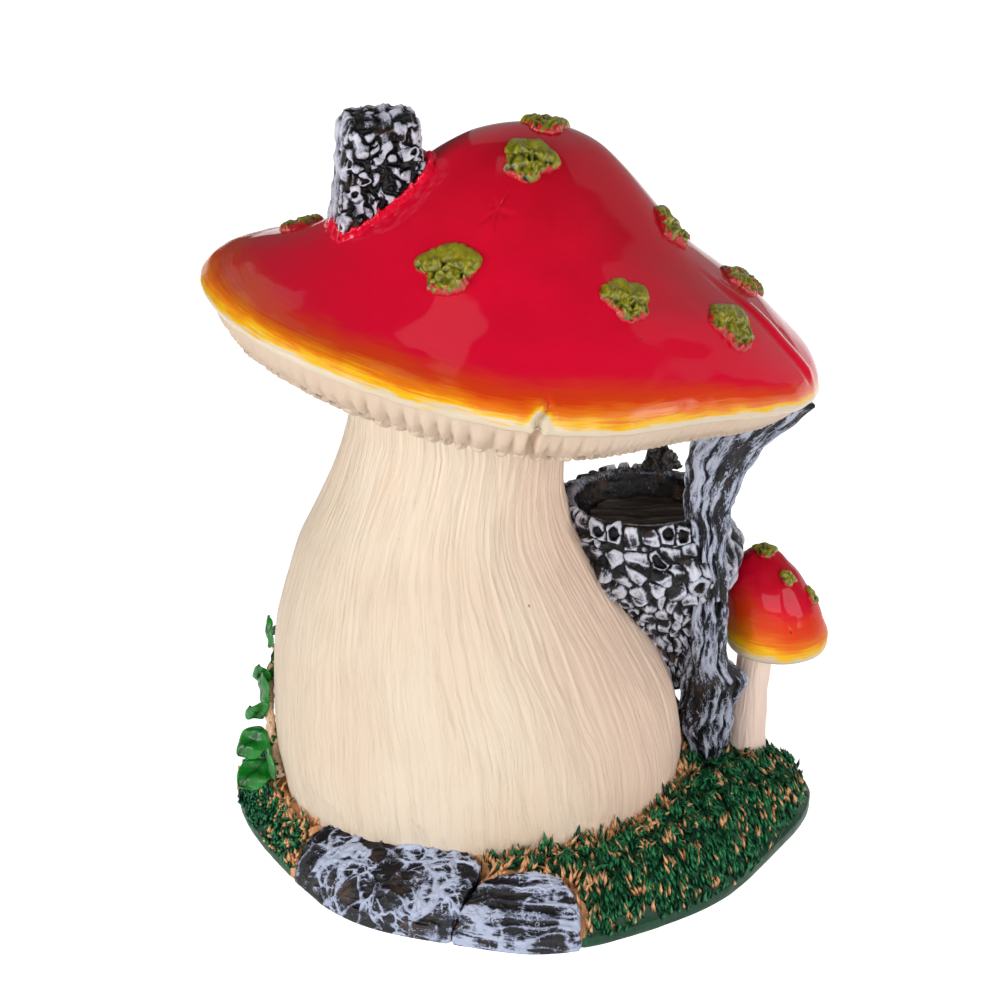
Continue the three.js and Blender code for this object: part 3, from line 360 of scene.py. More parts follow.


# Paints

# The meshes carry marks for the paints: flow is a place in millimetres that follows the shape, relief says
# how proud a place stands and on the cream, grass, moss and leaf pieces also carries painted shade and
# highlight, fade how far in it is from a rim, and fleck how bare it is.

def redLacquer(name="red lacquer", coat=0.85, deepFrom=20.0, deepTo=110.0):
    look = {"deep": (0.50, 0.0, 0.014), "bright": (0.81, 0.0, 0.030), "ember": (0.78, 0.05, 0.003),
            "orange": (0.88, 0.22, 0.004), "yellow": (0.96, 0.54, 0.01), "cream": (0.76, 0.63, 0.46),
            "pit": (0.10, 0.0, 0.004), "rimWidth": 16.0}
    settings = {"Roughness": 0.55, "Coat Weight": coat, "Coat IOR": 1.4, "Coat Roughness": 0.045,
                "Specular IOR Level": 0.1}
    tree, finishWith, flow, fade = newMaterial(name, settings, "flow", "fade")
    strokes = grain(tree, flow, (0.09, 0.09, 1.5), 4, 0.65, 0.3)
    cloud = grain(tree, flow, (0.05, 0.05, 0.12), 3)
    share = swayed(tree, swayed(tree, fade, strokes, 9.0), cloud, 4.0)
    share = maths(tree, "DIVIDE", share, look["rimWidth"])
    # painted shade: the red turns from bright to deep further in from the rim, towards the crown, mixed with
    # blotches of the paint
    high = spread(tree, swayed(tree, fade, cloud, 40.0), deepFrom, deepTo)
    rim = ramp(tree, share, [(0.0, look["cream"]), (0.05, look["cream"]), (0.10, look["yellow"]),
                             (0.15, look["yellow"]), (0.30, look["orange"]), (0.62, look["ember"])])
    red = blend(tree, high, look["bright"], look["deep"])
    colour = blend(tree, spread(tree, share, 0.62, 1.25), rim, red)
    # thin scratches here and there, and a few pits
    where = spread(tree, grain(tree, flow, (0.035, 0.035, 0.035), 2), 0.44, 0.54)
    scratch = vein(tree, grain(tree, flow, (0.30, 0.08, 0.12), 2, 0.5, 0.6), 0.004)
    pit = pinholes(tree, flow, 0.07, 0.012, 0.035)
    colour = blend(tree, maths(tree, "MULTIPLY", pit, 0.7), colour, look["pit"])
    rimStrokes = maths(tree, "MULTIPLY", strokes, spread(tree, share, 0.5, 1.3, 0.35, 0.04))
    normal = bumps(tree, (maths(tree, "MULTIPLY", scratch, where), -0.7, 0.3), (pit, -0.5, 0.2),
                   (rimStrokes, 0.8, 0.35))
    return finishWith(Base_Color=colour, Normal=normal, Coat_Normal=normal)


def creamPaint(name="cream paint", tint=(0.85, 0.715, 0.56), shade=(0.66, 0.49, 0.35), lines=1.0, rightPinkShade=0.0):
    # combed paint: long lines that stand proud, with fine furrows beside them; the furrows and low places get
    # painted shade, the proud lines stay paler
    look = {"rightPinkShade": (0.87, 0.635, 0.50), "pinhole": (0.34, 0.18, 0.08), "darker": (0.97, 0.93, 0.90)}
    tree, finishWith, flow, relief = newMaterial(name, {"Specular IOR Level": 0.35}, "flow", "relief")
    proud = vein(tree, grain(tree, flow, (0.55, 0.55, 0.022), 3, 0.6, 0.2), 0.045)
    narrow = grain(tree, flow, (1.15, 1.15, 0.05), 3, 0.6, 0.2)
    furrow = vein(tree, narrow, 0.05, 0.47)
    low = maths(tree, "MULTIPLY_ADD", furrow, -0.3 * lines, relief)
    low = maths(tree, "MULTIPLY_ADD", proud, 0.2 * lines, low)
    cloud = spread(tree, grain(tree, flow, (0.035, 0.035, 0.02), 3), 0.35, 0.65)
    colour = blend(tree, cloud, tint, tuple(part * share for part, share in zip(tint, look["darker"])))
    # painted shade: low relief and furrows darken towards the shade colour
    colour = blend(tree, spread(tree, low, -0.15, 0.6, 0.4, 0.0), colour, shade)
    # painted shade: pinker and a little darker towards the right, as under light bounced off the red cap
    aside = addNode(tree, "ShaderNodeSeparateXYZ", {"Vector": flow}).outputs["X"]
    colour = blend(tree, spread(tree, aside, 8.0, 48.0, 0.0, rightPinkShade), colour, look["rightPinkShade"])
    pinhole = maths(tree, "MULTIPLY", pinholes(tree, flow, 0.045, 0.010, 0.026), 0.8)
    colour = blend(tree, pinhole, colour, look["pinhole"])
    fine = grain(tree, flow, 1.4)
    normal = bumps(tree, (narrow, 0.5 * lines, 0.5), (proud, 0.55 * lines, 0.22),
                   (furrow, -0.4 * lines, 0.18), (fine, 0.1, 0.25))
    return finishWith(Base_Color=colour, Roughness=spread(tree, fine, 0.3, 0.7, 0.44, 0.58), Normal=normal)


def brushedPaint(name, look):
    # dark paint in the hollows, paler paint brushed dry over thin crests and whatever stands proud
    tree, finishWith, flow, relief = newMaterial(name, {"Specular IOR Level": 0.35}, "flow", "relief")
    streaks = grain(tree, flow, look["streaks"], 5, 0.7, 0.5)
    speckle = grain(tree, flow, 2.2, 5, 0.75)
    lift = swayed(tree, swayed(tree, relief, streaks, look["streakShare"]), speckle, look["speckle"])
    layers = [(streaks, 0.6, 0.4)]
    where = spread(tree, grain(tree, flow, 0.16, 3), 0.40, 0.58)
    where = spread(tree, where, 0.0, 1.0, 0.35, 1.0)
    for size, share, thin in ((1.0, 0.8, 0.024), (2.1, 0.6, 0.03)):
        scale = tuple(part * size for part in look["crest"])
        crest = vein(tree, grain(tree, flow, scale, 2, 0.5, look["swirl"]), thin)
        crest = maths(tree, "MULTIPLY", crest, where)
        lift = maths(tree, "MULTIPLY_ADD", crest, share * look["crestShare"], lift)
        layers.append((crest, 0.7, 0.35 / size))
    steps = zip((0.08, 0.2, 0.46), ("middle", "pale", "light"))
    colour = ramp(tree, lift, [(0.0, look["dark"]), (look["start"], look["dark"]),
                               *[(look["start"] + step * look["soft"], look[tone]) for step, tone in steps]])
    brown = spread(tree, grain(tree, flow, 0.12, 3), 0.55, 0.7)
    brown = maths(tree, "MULTIPLY", brown, spread(tree, lift, 0.2, 0.6, look["brown"], 0.0))
    colour = blend(tree, brown, colour, earthTone)
    normal = bumps(tree, *layers, (speckle, 0.4, 0.3))
    return finishWith(Base_Color=colour, Roughness=spread(tree, lift, 0.2, 0.9, 0.32, 0.5), Normal=normal)


earthTone = (0.075, 0.040, 0.026)
brushedLooks = {
    "stone": {"dark": (0.003, 0.003, 0.004), "middle": (0.06, 0.062, 0.08), "pale": (0.34, 0.35, 0.43),
              "light": (0.70, 0.72, 0.82), "streaks": (0.6, 0.6, 0.25), "streakShare": 0.35, "speckle": 0.7,
              "start": 0.26, "soft": 1.0, "brown": 0.9, "crest": (0.5, 0.5, 0.4), "crestShare": 0.35,
              "swirl": 0.6},
    "slate": {"dark": (0.004, 0.004, 0.006), "middle": (0.03, 0.032, 0.05), "pale": (0.17, 0.19, 0.29),
              "light": (0.53, 0.59, 0.76), "streaks": (0.35, 0.9, 0.9), "streakShare": 0.5, "speckle": 0.6,
              "start": 0.375, "soft": 0.7, "brown": 0.9, "crest": (0.16, 0.24, 0.3), "crestShare": 0.5,
              "swirl": 0.8},
    "bark": {"dark": (0.004, 0.004, 0.006), "middle": (0.05, 0.053, 0.08), "pale": (0.20, 0.22, 0.31),
             "light": (0.50, 0.54, 0.66), "streaks": (1.6, 1.6, 0.42), "streakShare": 1.4, "speckle": 0.8,
             "start": 0.40, "soft": 0.7, "brown": 0.6, "crest": (0.7, 0.7, 0.15), "crestShare": 0.7,
             "swirl": 0.6},
}


def turfPaint():
    look = {"green": [(0.0, (0.001, 0.010, 0.005)), (0.28, (0.001, 0.045, 0.018)),
                      (0.6, (0.002, 0.105, 0.036)), (0.98, (0.035, 0.27, 0.10))],
            "soil": [(0.10, (0.34, 0.10, 0.03)), (0.36, (0.72, 0.28, 0.095)), (0.74, (0.92, 0.53, 0.28))]}
    settings = {"Roughness": 0.36, "Specular IOR Level": 0.3}
    tree, finishWith, flow, relief, fleck = newMaterial("turf paint", settings, "flow", "relief", "fleck")
    fine = grain(tree, flow, 2.6, 4, 0.65)
    green = ramp(tree, swayed(tree, relief, grain(tree, flow, 0.9, 4, 0.65), 0.8), look["green"])
    soil = maths(tree, "MULTIPLY_ADD", relief, 0.25, maths(tree, "SUBTRACT", fine, 0.08))
    soil = ramp(tree, soil, look["soil"])
    colour = blend(tree, spread(tree, swayed(tree, fleck, fine, 0.9), 0.45, 0.55), green, soil)
    return finishWith(Base_Color=colour, Normal=bumps(tree, (fine, 0.45, 0.35)))


def mossPaint():
    look = {"green": [(0.0, (0.03, 0.03, 0.001)), (0.25, (0.15, 0.15, 0.003)), (0.6, (0.29, 0.27, 0.008)),
                      (1.0, (0.52, 0.46, 0.05))],
            "reds": ((0.36, 0.0, 0.012), (0.62, 0.02, 0.02)), "gold": (0.60, 0.36, 0.05)}
    settings = {"Roughness": 0.3, "Specular IOR Level": 0.35, "Coat Weight": 0.25, "Coat Roughness": 0.1}
    tree, finishWith, flow, relief, margin = newMaterial("moss paint", settings, "flow", "relief", "fade")
    fine = grain(tree, flow, 1.6, 4, 0.65)
    green = ramp(tree, swayed(tree, relief, fine, 0.5), look["green"])
    red = blend(tree, fine, *look["reds"])
    colour = blend(tree, spread(tree, swayed(tree, margin, fine, 0.5), 0.45, 0.55), green, red)
    # gold on the proud parts: painted highlight
    gold = spread(tree, grain(tree, flow, 0.55, 3), 0.55, 0.64)
    gold = maths(tree, "MULTIPLY", gold, spread(tree, relief, 0.35, 0.8, 0.0, 0.6))
    colour = blend(tree, gold, colour, look["gold"])
    normal = bumps(tree, (fine, 0.45, 0.3))
    return finishWith(Base_Color=colour, Normal=normal, Coat_Normal=normal)


def leafPaint():
    look = {"green": [(0.05, (0.0, 0.015, 0.003)), (0.40, (0.0, 0.11, 0.008)), (0.75, (0.001, 0.25, 0.013)),
                      (1.1, (0.04, 0.42, 0.03))],
            "crust": ((0.62, 0.34, 0.18), (0.84, 0.66, 0.46))}
    settings = {"Roughness": 0.38, "Coat Weight": 0.12, "Coat Roughness": 0.08}
    tree, finishWith, flow, relief, bare = newMaterial("leaf paint", settings, "flow", "relief", "fleck")
    fine = grain(tree, flow, 1.2)
    green = ramp(tree, swayed(tree, relief, grain(tree, flow, 0.35, 3), 0.6), look["green"])
    crust = blend(tree, fine, *look["crust"])
    colour = blend(tree, spread(tree, swayed(tree, bare, fine, 0.8), 0.46, 0.54), green, crust)
    normal = bumps(tree, (grain(tree, flow, 0.6, 3), 0.35, 0.5))
    return finishWith(Base_Color=colour, Normal=normal, Coat_Normal=normal)


def woodPaint(name, look):
    settings = {"Specular IOR Level": look["specular"]}
    tree, finishWith, flow, relief = newMaterial(name, settings, "flow", "relief")
    streaks = grain(tree, flow, look["streaks"], 5, look["detailShare"], 0.8)
    colour = ramp(tree, swayed(tree, relief, streaks, look["streakShare"]), look["tones"])
    rough = spread(tree, streaks, 0.3, 0.7, *look["roughness"])
    return finishWith(Base_Color=colour, Roughness=rough, Normal=bumps(tree, (streaks, *look["bump"])))


woodLooks = {
    "dark": {"specular": 0.5, "streaks": (0.12, 0.9, 0.9), "detailShare": 0.65, "streakShare": 0.9,
             "roughness": (0.3, 0.5), "bump": (0.6, 0.5),
             "tones": [(0.1, (0.006, 0.005, 0.005)), (0.5, (0.022, 0.016, 0.014)), (0.8, (0.10, 0.08, 0.07)),
                       (1.0, (0.30, 0.27, 0.25))]},
    "door": {"specular": 0.45, "streaks": (0.9, 0.9, 0.1), "detailShare": 0.6, "streakShare": 1.0,
             "roughness": (0.35, 0.55), "bump": (0.5, 0.35),
             "tones": [(0.1, (0.022, 0.007, 0.0024)), (0.45, (0.11, 0.035, 0.012)),
                       (0.95, (0.40, 0.19, 0.08))]},
}


def plainPaint(name, colour, settings):
    tree, finishWith, flow = newMaterial(name, settings, "flow")
    fine = grain(tree, flow, 1.1)
    shade = blend(tree, spread(tree, fine, 0.3, 0.7), tuple(part * 0.6 for part in colour), colour)
    return finishWith(Base_Color=shade, Normal=bumps(tree, (fine, 0.35, 0.3)))


paints = {
    "redGloss": redLacquer(),
    # the small cap turns deep red sooner: painted shade on its top
    "smallRed": redLacquer("small cap lacquer", 0.32, 6.0, 34.0),
    "cream": creamPaint(rightPinkShade=0.75),
    "gills": creamPaint("gill paint", (0.74, 0.59, 0.46), (0.55, 0.38, 0.26), 0.35),
    "smallStem": creamPaint("small stem paint", (0.98, 0.77, 0.66), (0.84, 0.60, 0.48), 0.3),
    **{slot: brushedPaint("brushed " + slot, look) for slot, look in brushedLooks.items()},
    "turf": turfPaint(),
    "moss": mossPaint(),
    "leaf": leafPaint(),
    "darkWood": woodPaint("dark wood paint", woodLooks["dark"]),
    "doorWood": woodPaint("door wood paint", woodLooks["door"]),
    "iron": plainPaint("iron paint", (0.035, 0.034, 0.034), {"Roughness": 0.4, "Metallic": 0.3}),
    "brass": plainPaint("gold paint", (0.55, 0.36, 0.10), {"Roughness": 0.3, "Metallic": 0.8}),
    "pane": plainPaint("window paint", (0.88, 0.60, 0.16), {"Roughness": 0.25, "Coat Weight": 0.6}),
}
print("paints made")


# Shared forms of the house, the same as the solids have

seatGap = 0.3
mound = {"halfWidth": 80.5, "frontDepth": 75, "backDepth": 68, "crown": 17, "squareness": 1.75,
         "lobes": 0.012,
         "section": [(0, 1), (0.4, 0.975), (0.65, 0.92), (0.8, 0.81), (0.9, 0.64), (0.965, 0.4), (1, 0.18)]}
trunk = {"neckHeight": 115, "bulb": (54.5, 48.5), "neck": (27.5, 27), "footX": -10.5, "y": -4.5, "lean": 11,
         "fullness": [(0, 0.9), (0.09, 0.95), (0.2, 1), (0.3, 0.975), (0.4, 0.9), (0.52, 0.736),
                      (0.61, 0.566), (0.7, 0.385), (0.78, 0.215), (0.87, 0.09), (1, 0)],
         "sway": [(0, 0), (0.35, 0.3), (0.6, 0.82), (0.78, 1), (1, 0.6)]}
cap = {"tilt": math.radians(11.8), "lift": 25.7, "x": -3, "y": -4, "halfWidth": 79.8, "halfDepth": 66,
       "rise": 52, "roll": 1.5, "gillDrop": 9.5, "gillLean": 0.25,
       "right": [(0, 1), (0.13, 0.955), (0.22, 0.875), (0.33, 0.74), (0.45, 0.59), (0.53, 0.51),
                 (0.64, 0.425), (0.75, 0.345), (0.85, 0.24), (0.95, 0.128), (0.985, 0.06), (1, 0)],
       "left": [(0, 1), (0.14, 0.962), (0.27, 0.88), (0.37, 0.75), (0.5, 0.525), (0.62, 0.35), (0.72, 0.235),
                (0.82, 0.15), (0.9, 0.1), (0.975, 0.055), (1, 0)],
       "gills": [(0, 0.55), (0.55, 0.9), (0.76, 1), (0.88, 0.92), (0.955, 0.52), (0.99, 0)]}
capHeight = trunk["neckHeight"] + cap["lift"]


def moundReach(angle):
    halfDepth = np.where(np.sin(angle) < 0, mound["frontDepth"], mound["backDepth"])
    across = np.abs(np.cos(angle) / mound["halfWidth"]) ** mound["squareness"]
    along = np.abs(np.sin(angle) / halfDepth) ** mound["squareness"]
    wander = np.sin(5 * angle + 0.6) + 0.7 * np.sin(9 * angle + 2.2)
    pinch = 0.2 * bumpAt(angle, 0.7, 0.5) + 0.03 * bumpAt(angle, -0.7, 0.6) + 0.03 * bumpAt(angle, -2.8, 0.3)
    return (across + along) ** (-1 / mound["squareness"]) * (1 + mound["lobes"] * wander - pinch)


def moundShare(x, y):
    return np.hypot(x, y) / moundReach(np.arctan2(y, x))


def turfHeight(x, y):
    return mound["crown"] * readCurve(mound["section"], moundShare(x, y))


def tuftAt(x, y):
    # clumps of grass: how far the turf is above its mean height
    across = x / 11 + 0.35 * np.sin(y / 11)
    along = y / 11 + 0.35 * np.sin(x / 11 + 1)
    return 1.1 * np.sin(2 * np.pi * across) * np.sin(2 * np.pi * along)


def rimPlaneHeight(x):
    return capHeight - (x - cap["x"]) * math.tan(cap["tilt"])


def toHouse(points):
    # from the cap's own tilted frame
    cosTilt, sinTilt = math.cos(cap["tilt"]), math.sin(cap["tilt"])
    x, y, z = points[..., 0], points[..., 1], points[..., 2]
    return stack(cap["x"] + x * cosTilt + z * sinTilt, cap["y"] + y, capHeight - x * sinTilt + z * cosTilt)


def stemMiddle(z):
    return trunk["footX"] - trunk["lean"] * readCurve(trunk["sway"], np.asarray(z) / trunk["neckHeight"])


def stemSpan(z):
    fullness = readCurve(trunk["fullness"], np.asarray(z) / trunk["neckHeight"])
    return [neck + (bulb - neck) * fullness for bulb, neck in zip(trunk["bulb"], trunk["neck"])]


def stemPoint(angle, z, proud=0):
    halfWidth, halfDepth = stemSpan(z)
    return stack(stemMiddle(z) + (halfWidth + proud) * np.cos(angle),
                 trunk["y"] + (halfDepth + proud) * np.sin(angle), z)


def capReach(angle):
    drawnIn = 0.1 * bumpAt(angle, math.radians(-42), 0.5) + 0.1 * bumpAt(angle, math.radians(140), 0.55)
    return (1 - drawnIn) / np.hypot(np.cos(angle) / cap["halfWidth"], np.sin(angle) / cap["halfDepth"])


def brimWave(angle, share):
    return 3 * bumpAt(angle, math.radians(-42), 0.5) * smoothStep(0, 1, share)


def roofHeight(angle, share):
    toRight = (1 + np.cos(angle)) / 2
    shape = toRight * readCurve(cap["right"], share) + (1 - toRight) * readCurve(cap["left"], share)
    return cap["rise"] * shape + brimWave(angle, share)


def roofPoint(x, y):
    angle = np.arctan2(y, x)
    share = np.minimum(np.hypot(x, y) / capReach(angle), 1)
    reach = share * capReach(angle)
    return circle(reach, angle, roofHeight(angle, share))


def surfaceNormal(pointAt, x, y):
    across = pointAt(x + 0.5, y) - pointAt(x - 0.5, y)
    along = pointAt(x, y + 0.5) - pointAt(x, y - 0.5)
    normal = np.cross(across, along)
    return unit(normal)


# Stem

stemLook = {"front": 470, "back": 140, "rows": 152, "radius": 52, "proud": 0.26, "furrow": 0.24,
            "dents": 0.35, "scarAt": (-1.9, 27.5),
            "scar": [(0.0, 0.0), (0.6, -2.2), (1.8, -4.0), (3.4, -4.9), (5.2, -5.0)],
            "scarWidth": 0.42}


def unevenTurns(front, back):
    # directions round a piece, closer together on the -Y side
    halves = [np.linspace(-np.pi, 0, front, endpoint=False), np.linspace(0, np.pi, back, endpoint=False)]
    return np.concatenate(halves)


def stemShape():
    look, radius = stemLook, stemLook["radius"]
    top = rimPlaneHeight(stemMiddle(trunk["neckHeight"])) - cap["roll"] - seatGap - 3
    bottom = mound["crown"] - 6
    angle, z = np.meshgrid(unevenTurns(look["front"], look["back"]), np.linspace(bottom, top, look["rows"]))
    base = stemPoint(angle, z)
    tip = smoothStep(0.7 * top, top, z)
    base[..., 2] -= tip * (base[..., 0] - stemMiddle(z)) * math.tan(cap["tilt"])
    flow = circle(radius, angle, z)
    # the combed lines drift and bunch together to the right of the front
    turned = angle + 2.4 / radius * noise(flow, (15, 15, 34), 3) + 0.8 / radius * noise(flow, (4, 4, 12), 4)
    combed = circle(radius, turned, z)
    proud = crests(combed, (3.4, 3.4, 60), 5, 0.13) + 0.7 * crests(combed, (2.2, 2.2, 38), 6, 0.14)
    furrow = crests(combed, (2.6, 2.6, 46), 7, 0.12)
    right = bumpAt(angle, -0.75, 0.8)
    strength = 0.45 + 0.8 * right + 0.4 * noise(flow, (18, 18, 30), 8) + 0.2 * bumpAt(angle, -1.9, 0.35)
    strength = np.clip(strength * (0.8 - 0.4 * smoothStep(36, 20, z)), 0.05, 1.2)
    height = strength * (look["proud"] * proud - look["furrow"] * furrow) + look["dents"] * noise(flow, 17, 9)
    # dabs and scuffs near the foot, and a curved scar
    scuffed = smoothStep(30, 20, z) * smoothStep(0.1, 0.5, noise(flow, (9, 9, 4), 10))
    height += 0.35 * scuffed * crests(warped(flow, 4, 1.5, 11), (2.6, 2.6, 1.6), 12, 0.3)
    along, up = (angle - look["scarAt"][0]) * radius, z - look["scarAt"][1]
    onScar = bell((up - readCurve(look["scar"], along)) / look["scarWidth"])
    onScar = onScar * smoothStep(-0.5, 0.2, along) * smoothStep(5.8, 5.0, along)
    height += 0.5 * onScar
    points = pushed(base, height)
    # relief carries painted shade in the furrows and a paler painted highlight on the proud lines
    relief = 0.72 - 0.5 * furrow * np.clip(strength, 0, 1) + 0.2 * proud
    relief = relief - 0.9 * onScar * (noise(flow, 0.9, 13) > 0.1)
    # the pockets of the door and the window
    for place, face, inside in pockets:
        local = toWall(points, place)
        deep = inside(local) * (local[..., 2] > 0)
        points = points + (face - local[..., 2])[..., None] * place["out"] * deep[..., None]
    return closedGrid(points, {"flow": combed, "relief": relief})


# Door and window frame: across to the right hand, up, and out of the wall

doorLook = {"azimuth": math.radians(97), "width": 27, "height": 46, "sill": 18, "thickness": 2.2, "recess": 6,
            "surround": 5, "proud": 2.4, "plank": 4.5}
windowLook = {"height": 84, "radius": 8, "recess": 3, "frame": 2.6, "proud": 1.6, "pane": 1, "bar": 1.6}


def wallPlace(azimuth, z):
    out = np.array([math.cos(azimuth), math.sin(azimuth), 0])
    across = np.array([-math.sin(azimuth), math.cos(azimuth), 0])
    return {"origin": np.array([float(stemMiddle(z)), trunk["y"], z]), "across": across, "out": out}


def toWall(points, place):
    away = points - place["origin"]
    return stack(away @ place["across"], away[..., 2], away @ place["out"])


def fromWall(local, place):
    return (place["origin"] + local[..., 0:1] * place["across"] + local[..., 1:2] * np.array([0, 0, 1.0])
            + local[..., 2:3] * place["out"])


def archInside(width, height, local):
    half = width / 2
    over = np.hypot(local[..., 0], local[..., 1] - (height - half)) < half
    below = (np.abs(local[..., 0]) < half) & (local[..., 1] > 0) & (local[..., 1] <= height - half)
    return over | below


doorPlace = wallPlace(doorLook["azimuth"], doorLook["sill"])
doorFace = float(stemSpan(doorLook["sill"] + doorLook["height"] / 2)[1]) - doorLook["recess"]
windowPlace = wallPlace(doorLook["azimuth"], windowLook["height"])
windowFace = float(stemSpan(windowLook["height"])[1]) - windowLook["recess"]
pockets = [
    (doorPlace, doorFace - doorLook["thickness"],
     lambda local: archInside(doorLook["width"] + 1, doorLook["height"] + 0.5, local)),
    (windowPlace, windowFace - windowLook["pane"],
     lambda local: np.hypot(local[..., 0], local[..., 1]) < windowLook["radius"] + 0.5),
]

addPiece("stem", stemShape(), "cream")
print("stem made")


# Cap roof and gills, in the cap's tilted frame

roofLook = {"columns": 600, "rows": 136, "radius": 66, "dents": 0.3, "notch": math.radians(-85.3),
            "notchLength": 10, "notchDepth": 2.4, "crease": math.radians(-9), "star": (-11.6, -24.7),
            "fade": [(-180, 1.0), (-165, 1.1), (-140, 0.8), (-115, 0.76), (-90, 0.7), (-70, 0.72),
                     (-45, 0.52), (-20, 0.36), (0, 0.36), (60, 0.5), (120, 0.8), (180, 1.1)]}


def notchDepth(angle, reach, away):
    # away is the distance in from the brim
    look = roofLook
    side = (angle - look["notch"]) * reach + 0.6 * np.sin(away * 0.9) - 0.15 * away
    long = smoothStep(look["notchLength"], 0.2 * look["notchLength"], away)
    cutIn = bell(side / (0.3 + 0.55 * long)) * long
    lip = bell((np.abs(side) - 1.6) / 0.9) * long * 0.2
    return look["notchDepth"] * (lip - cutIn)


def roofShape():
    look = roofLook
    angles = turns(look["columns"])
    under = [0.02, 0.5, 0.9, 0.955, 0.985]
    lip = np.linspace(0, np.pi / 2, 7)[1:-1]
    shares = 1 - np.linspace(0, 1, look["rows"]) ** 1.25 * 0.995
    rows = [(share, -cap["roll"]) for share in under]
    # the rounded lip, from the underside to the top
    rows += [(0.99 + 0.012 * math.sin(turn), -cap["roll"] * math.cos(turn)) for turn in lip]
    rows += [(share, None) for share in shares]
    grid = []
    reach = capReach(angles)
    for share, level in rows:
        z = roofHeight(angles, min(share, 1)) if level is None else level + brimWave(angles, share)
        grid.append(circle(share * reach, angles, z))
    base = np.array(grid)
    step = np.linalg.norm(np.diff(base, axis=0), axis=-1)
    rimRow = len(under) + len(lip)
    along = np.concatenate([np.zeros((1, len(angles))), np.cumsum(step, 0)])
    # away is the distance in from the rim, below zero underneath
    away = along - along[rimRow]
    angle = np.broadcast_to(angles, away.shape)
    onTop = smoothStep(-1, 3, away)
    height = look["dents"] * (layered(base, 26, 2, 11) + 0.25 * noise(base, 7, 13)) * onTop
    height += 0.3 * noise(stack(angle * look["radius"], 0, 0), (6, 1, 1), 14) * bell(away / 5)
    reach = np.hypot(base[..., 0], base[..., 1])
    side = (angle - look["crease"]) * reach
    creased = smoothStep(2, 8, away) * smoothStep(46, 30, away)
    height += (0.5 * bell(side / 1.5) - 0.6 * bell((side + 2.8) / 1.2)) * creased
    height += notchDepth(angle, reach, np.maximum(away, 0)) * smoothStep(-4, 0, away)
    # a small star of cracks high on the front
    starX, starY = base[..., 0] - look["star"][0], base[..., 1] - look["star"][1]
    starReach, starTurn = np.hypot(starX, starY), np.arctan2(starY, starX)
    ray = bell(np.sin(2.5 * starTurn + 0.6) * starReach / 0.5) * smoothStep(5.5, 1.5, starReach)
    height += 0.35 * bell(starReach / 4) - 0.55 * ray
    points = pushed(base, height)
    # strokes run along the brim and drift up from it
    slanted = angle + 0.012 * away
    flow = circle(look["radius"], slanted, away)
    width = readCurve(look["fade"], np.degrees(angle))
    tip = bumpAt(angle, math.radians(172), 0.75)
    fade = np.where(away > 0, away / width, away * 0.8) + 4.2 * tip * smoothStep(-1.2, 1.2, away)
    fade = fade + 1.6 * noise(flow, (7, 7, 9), 15) * (away > 0)
    fade = fade - 9 * bell((angle - look["notch"]) * 62 / 2.0) * smoothStep(9, 1, away)
    return closedGrid(toHouse(points), {"flow": flow, "fade": fade})


addPiece("cap_roof", roofShape(), "redGloss")
print("roof made")

gillLook = {"columns": 700, "rows": 74, "ribs": 96, "depth": 1.3, "top": 0.968}


def gillShape():
    look = gillLook
    angles = turns(look["columns"])
    rows = np.concatenate([np.linspace(0.25, 0.9, 36), np.linspace(0.905, look["top"], 34)])
    share, angle = np.meshgrid(rows, angles, indexing="ij")
    deep = cap["gillDrop"] * (1 - cap["gillLean"] * np.maximum(np.cos(angle), 0) ** 2)
    # the same section as the solid, ending under the lip of the roof
    section = readCurve(cap["gills"], share * 0.99 / look["top"] * (share > 0.9) + share * (share <= 0.9))
    z = brimWave(angle, share) - cap["roll"] - seatGap - deep * section
    reach = share * capReach(angle)
    base = circle(reach, angle, z)
    ring = circle(roofLook["radius"], angle, share * 60)
    front = bumpAt(angle, -1.8, 0.75)
    turned = angle + (0.02 + 0.03 * front) * noise(ring, (13, 13, 40), 21)
    turned = turned + 0.012 * noise(ring, (5, 5, 14), 22) + 0.10 * (0.96 - share) * np.sin(angle + 0.3)
    wave = np.sin(0.5 * look["ribs"] * turned + 0.8 * noise(ring, (20, 20, 60), 23))
    narrow = np.sin(look["ribs"] * turned)
    shape = front * (1 - 2 * np.abs(wave) ** 0.75) + (1 - front) * (1 - 2 * np.abs(narrow) ** 0.75)
    rough = 0.35 * noise(ring, (5, 5, 14), 24) + 0.15 * noise(ring, 2.2, 25)
    height = look["depth"] * (rough - 0.75 * shape)
    height = height * smoothStep(look["top"], look["top"] - 0.03, share) * smoothStep(0.3, 0.5, share)
    height = height * (0.35 + 0.65 * front)
    height += notchDepth(angle, reach, (look["top"] - share) * 62) * 1.1
    points = pushed(base, height)
    top = np.array([circle(s * capReach(angles), angles, brimWave(angles, s) - cap["roll"] + 0.3)
                    for s in (look["top"] - 0.004, 0.9, 0.02)])
    points = np.concatenate([points, top])
    flow = np.concatenate([ring, np.repeat(ring[-1:], 3, 0)])
    # painted shade in the grooves between the gill ribs
    relief = 0.62 - 0.38 * shape
    relief = np.concatenate([relief, np.repeat(relief[-1:], 3, 0)])
    return closedGrid(toHouse(points), {"flow": flow, "relief": relief})


addPiece("cap_gills", gillShape(), "gills")
print("gills made")


# Ground mound with its tufts of grass

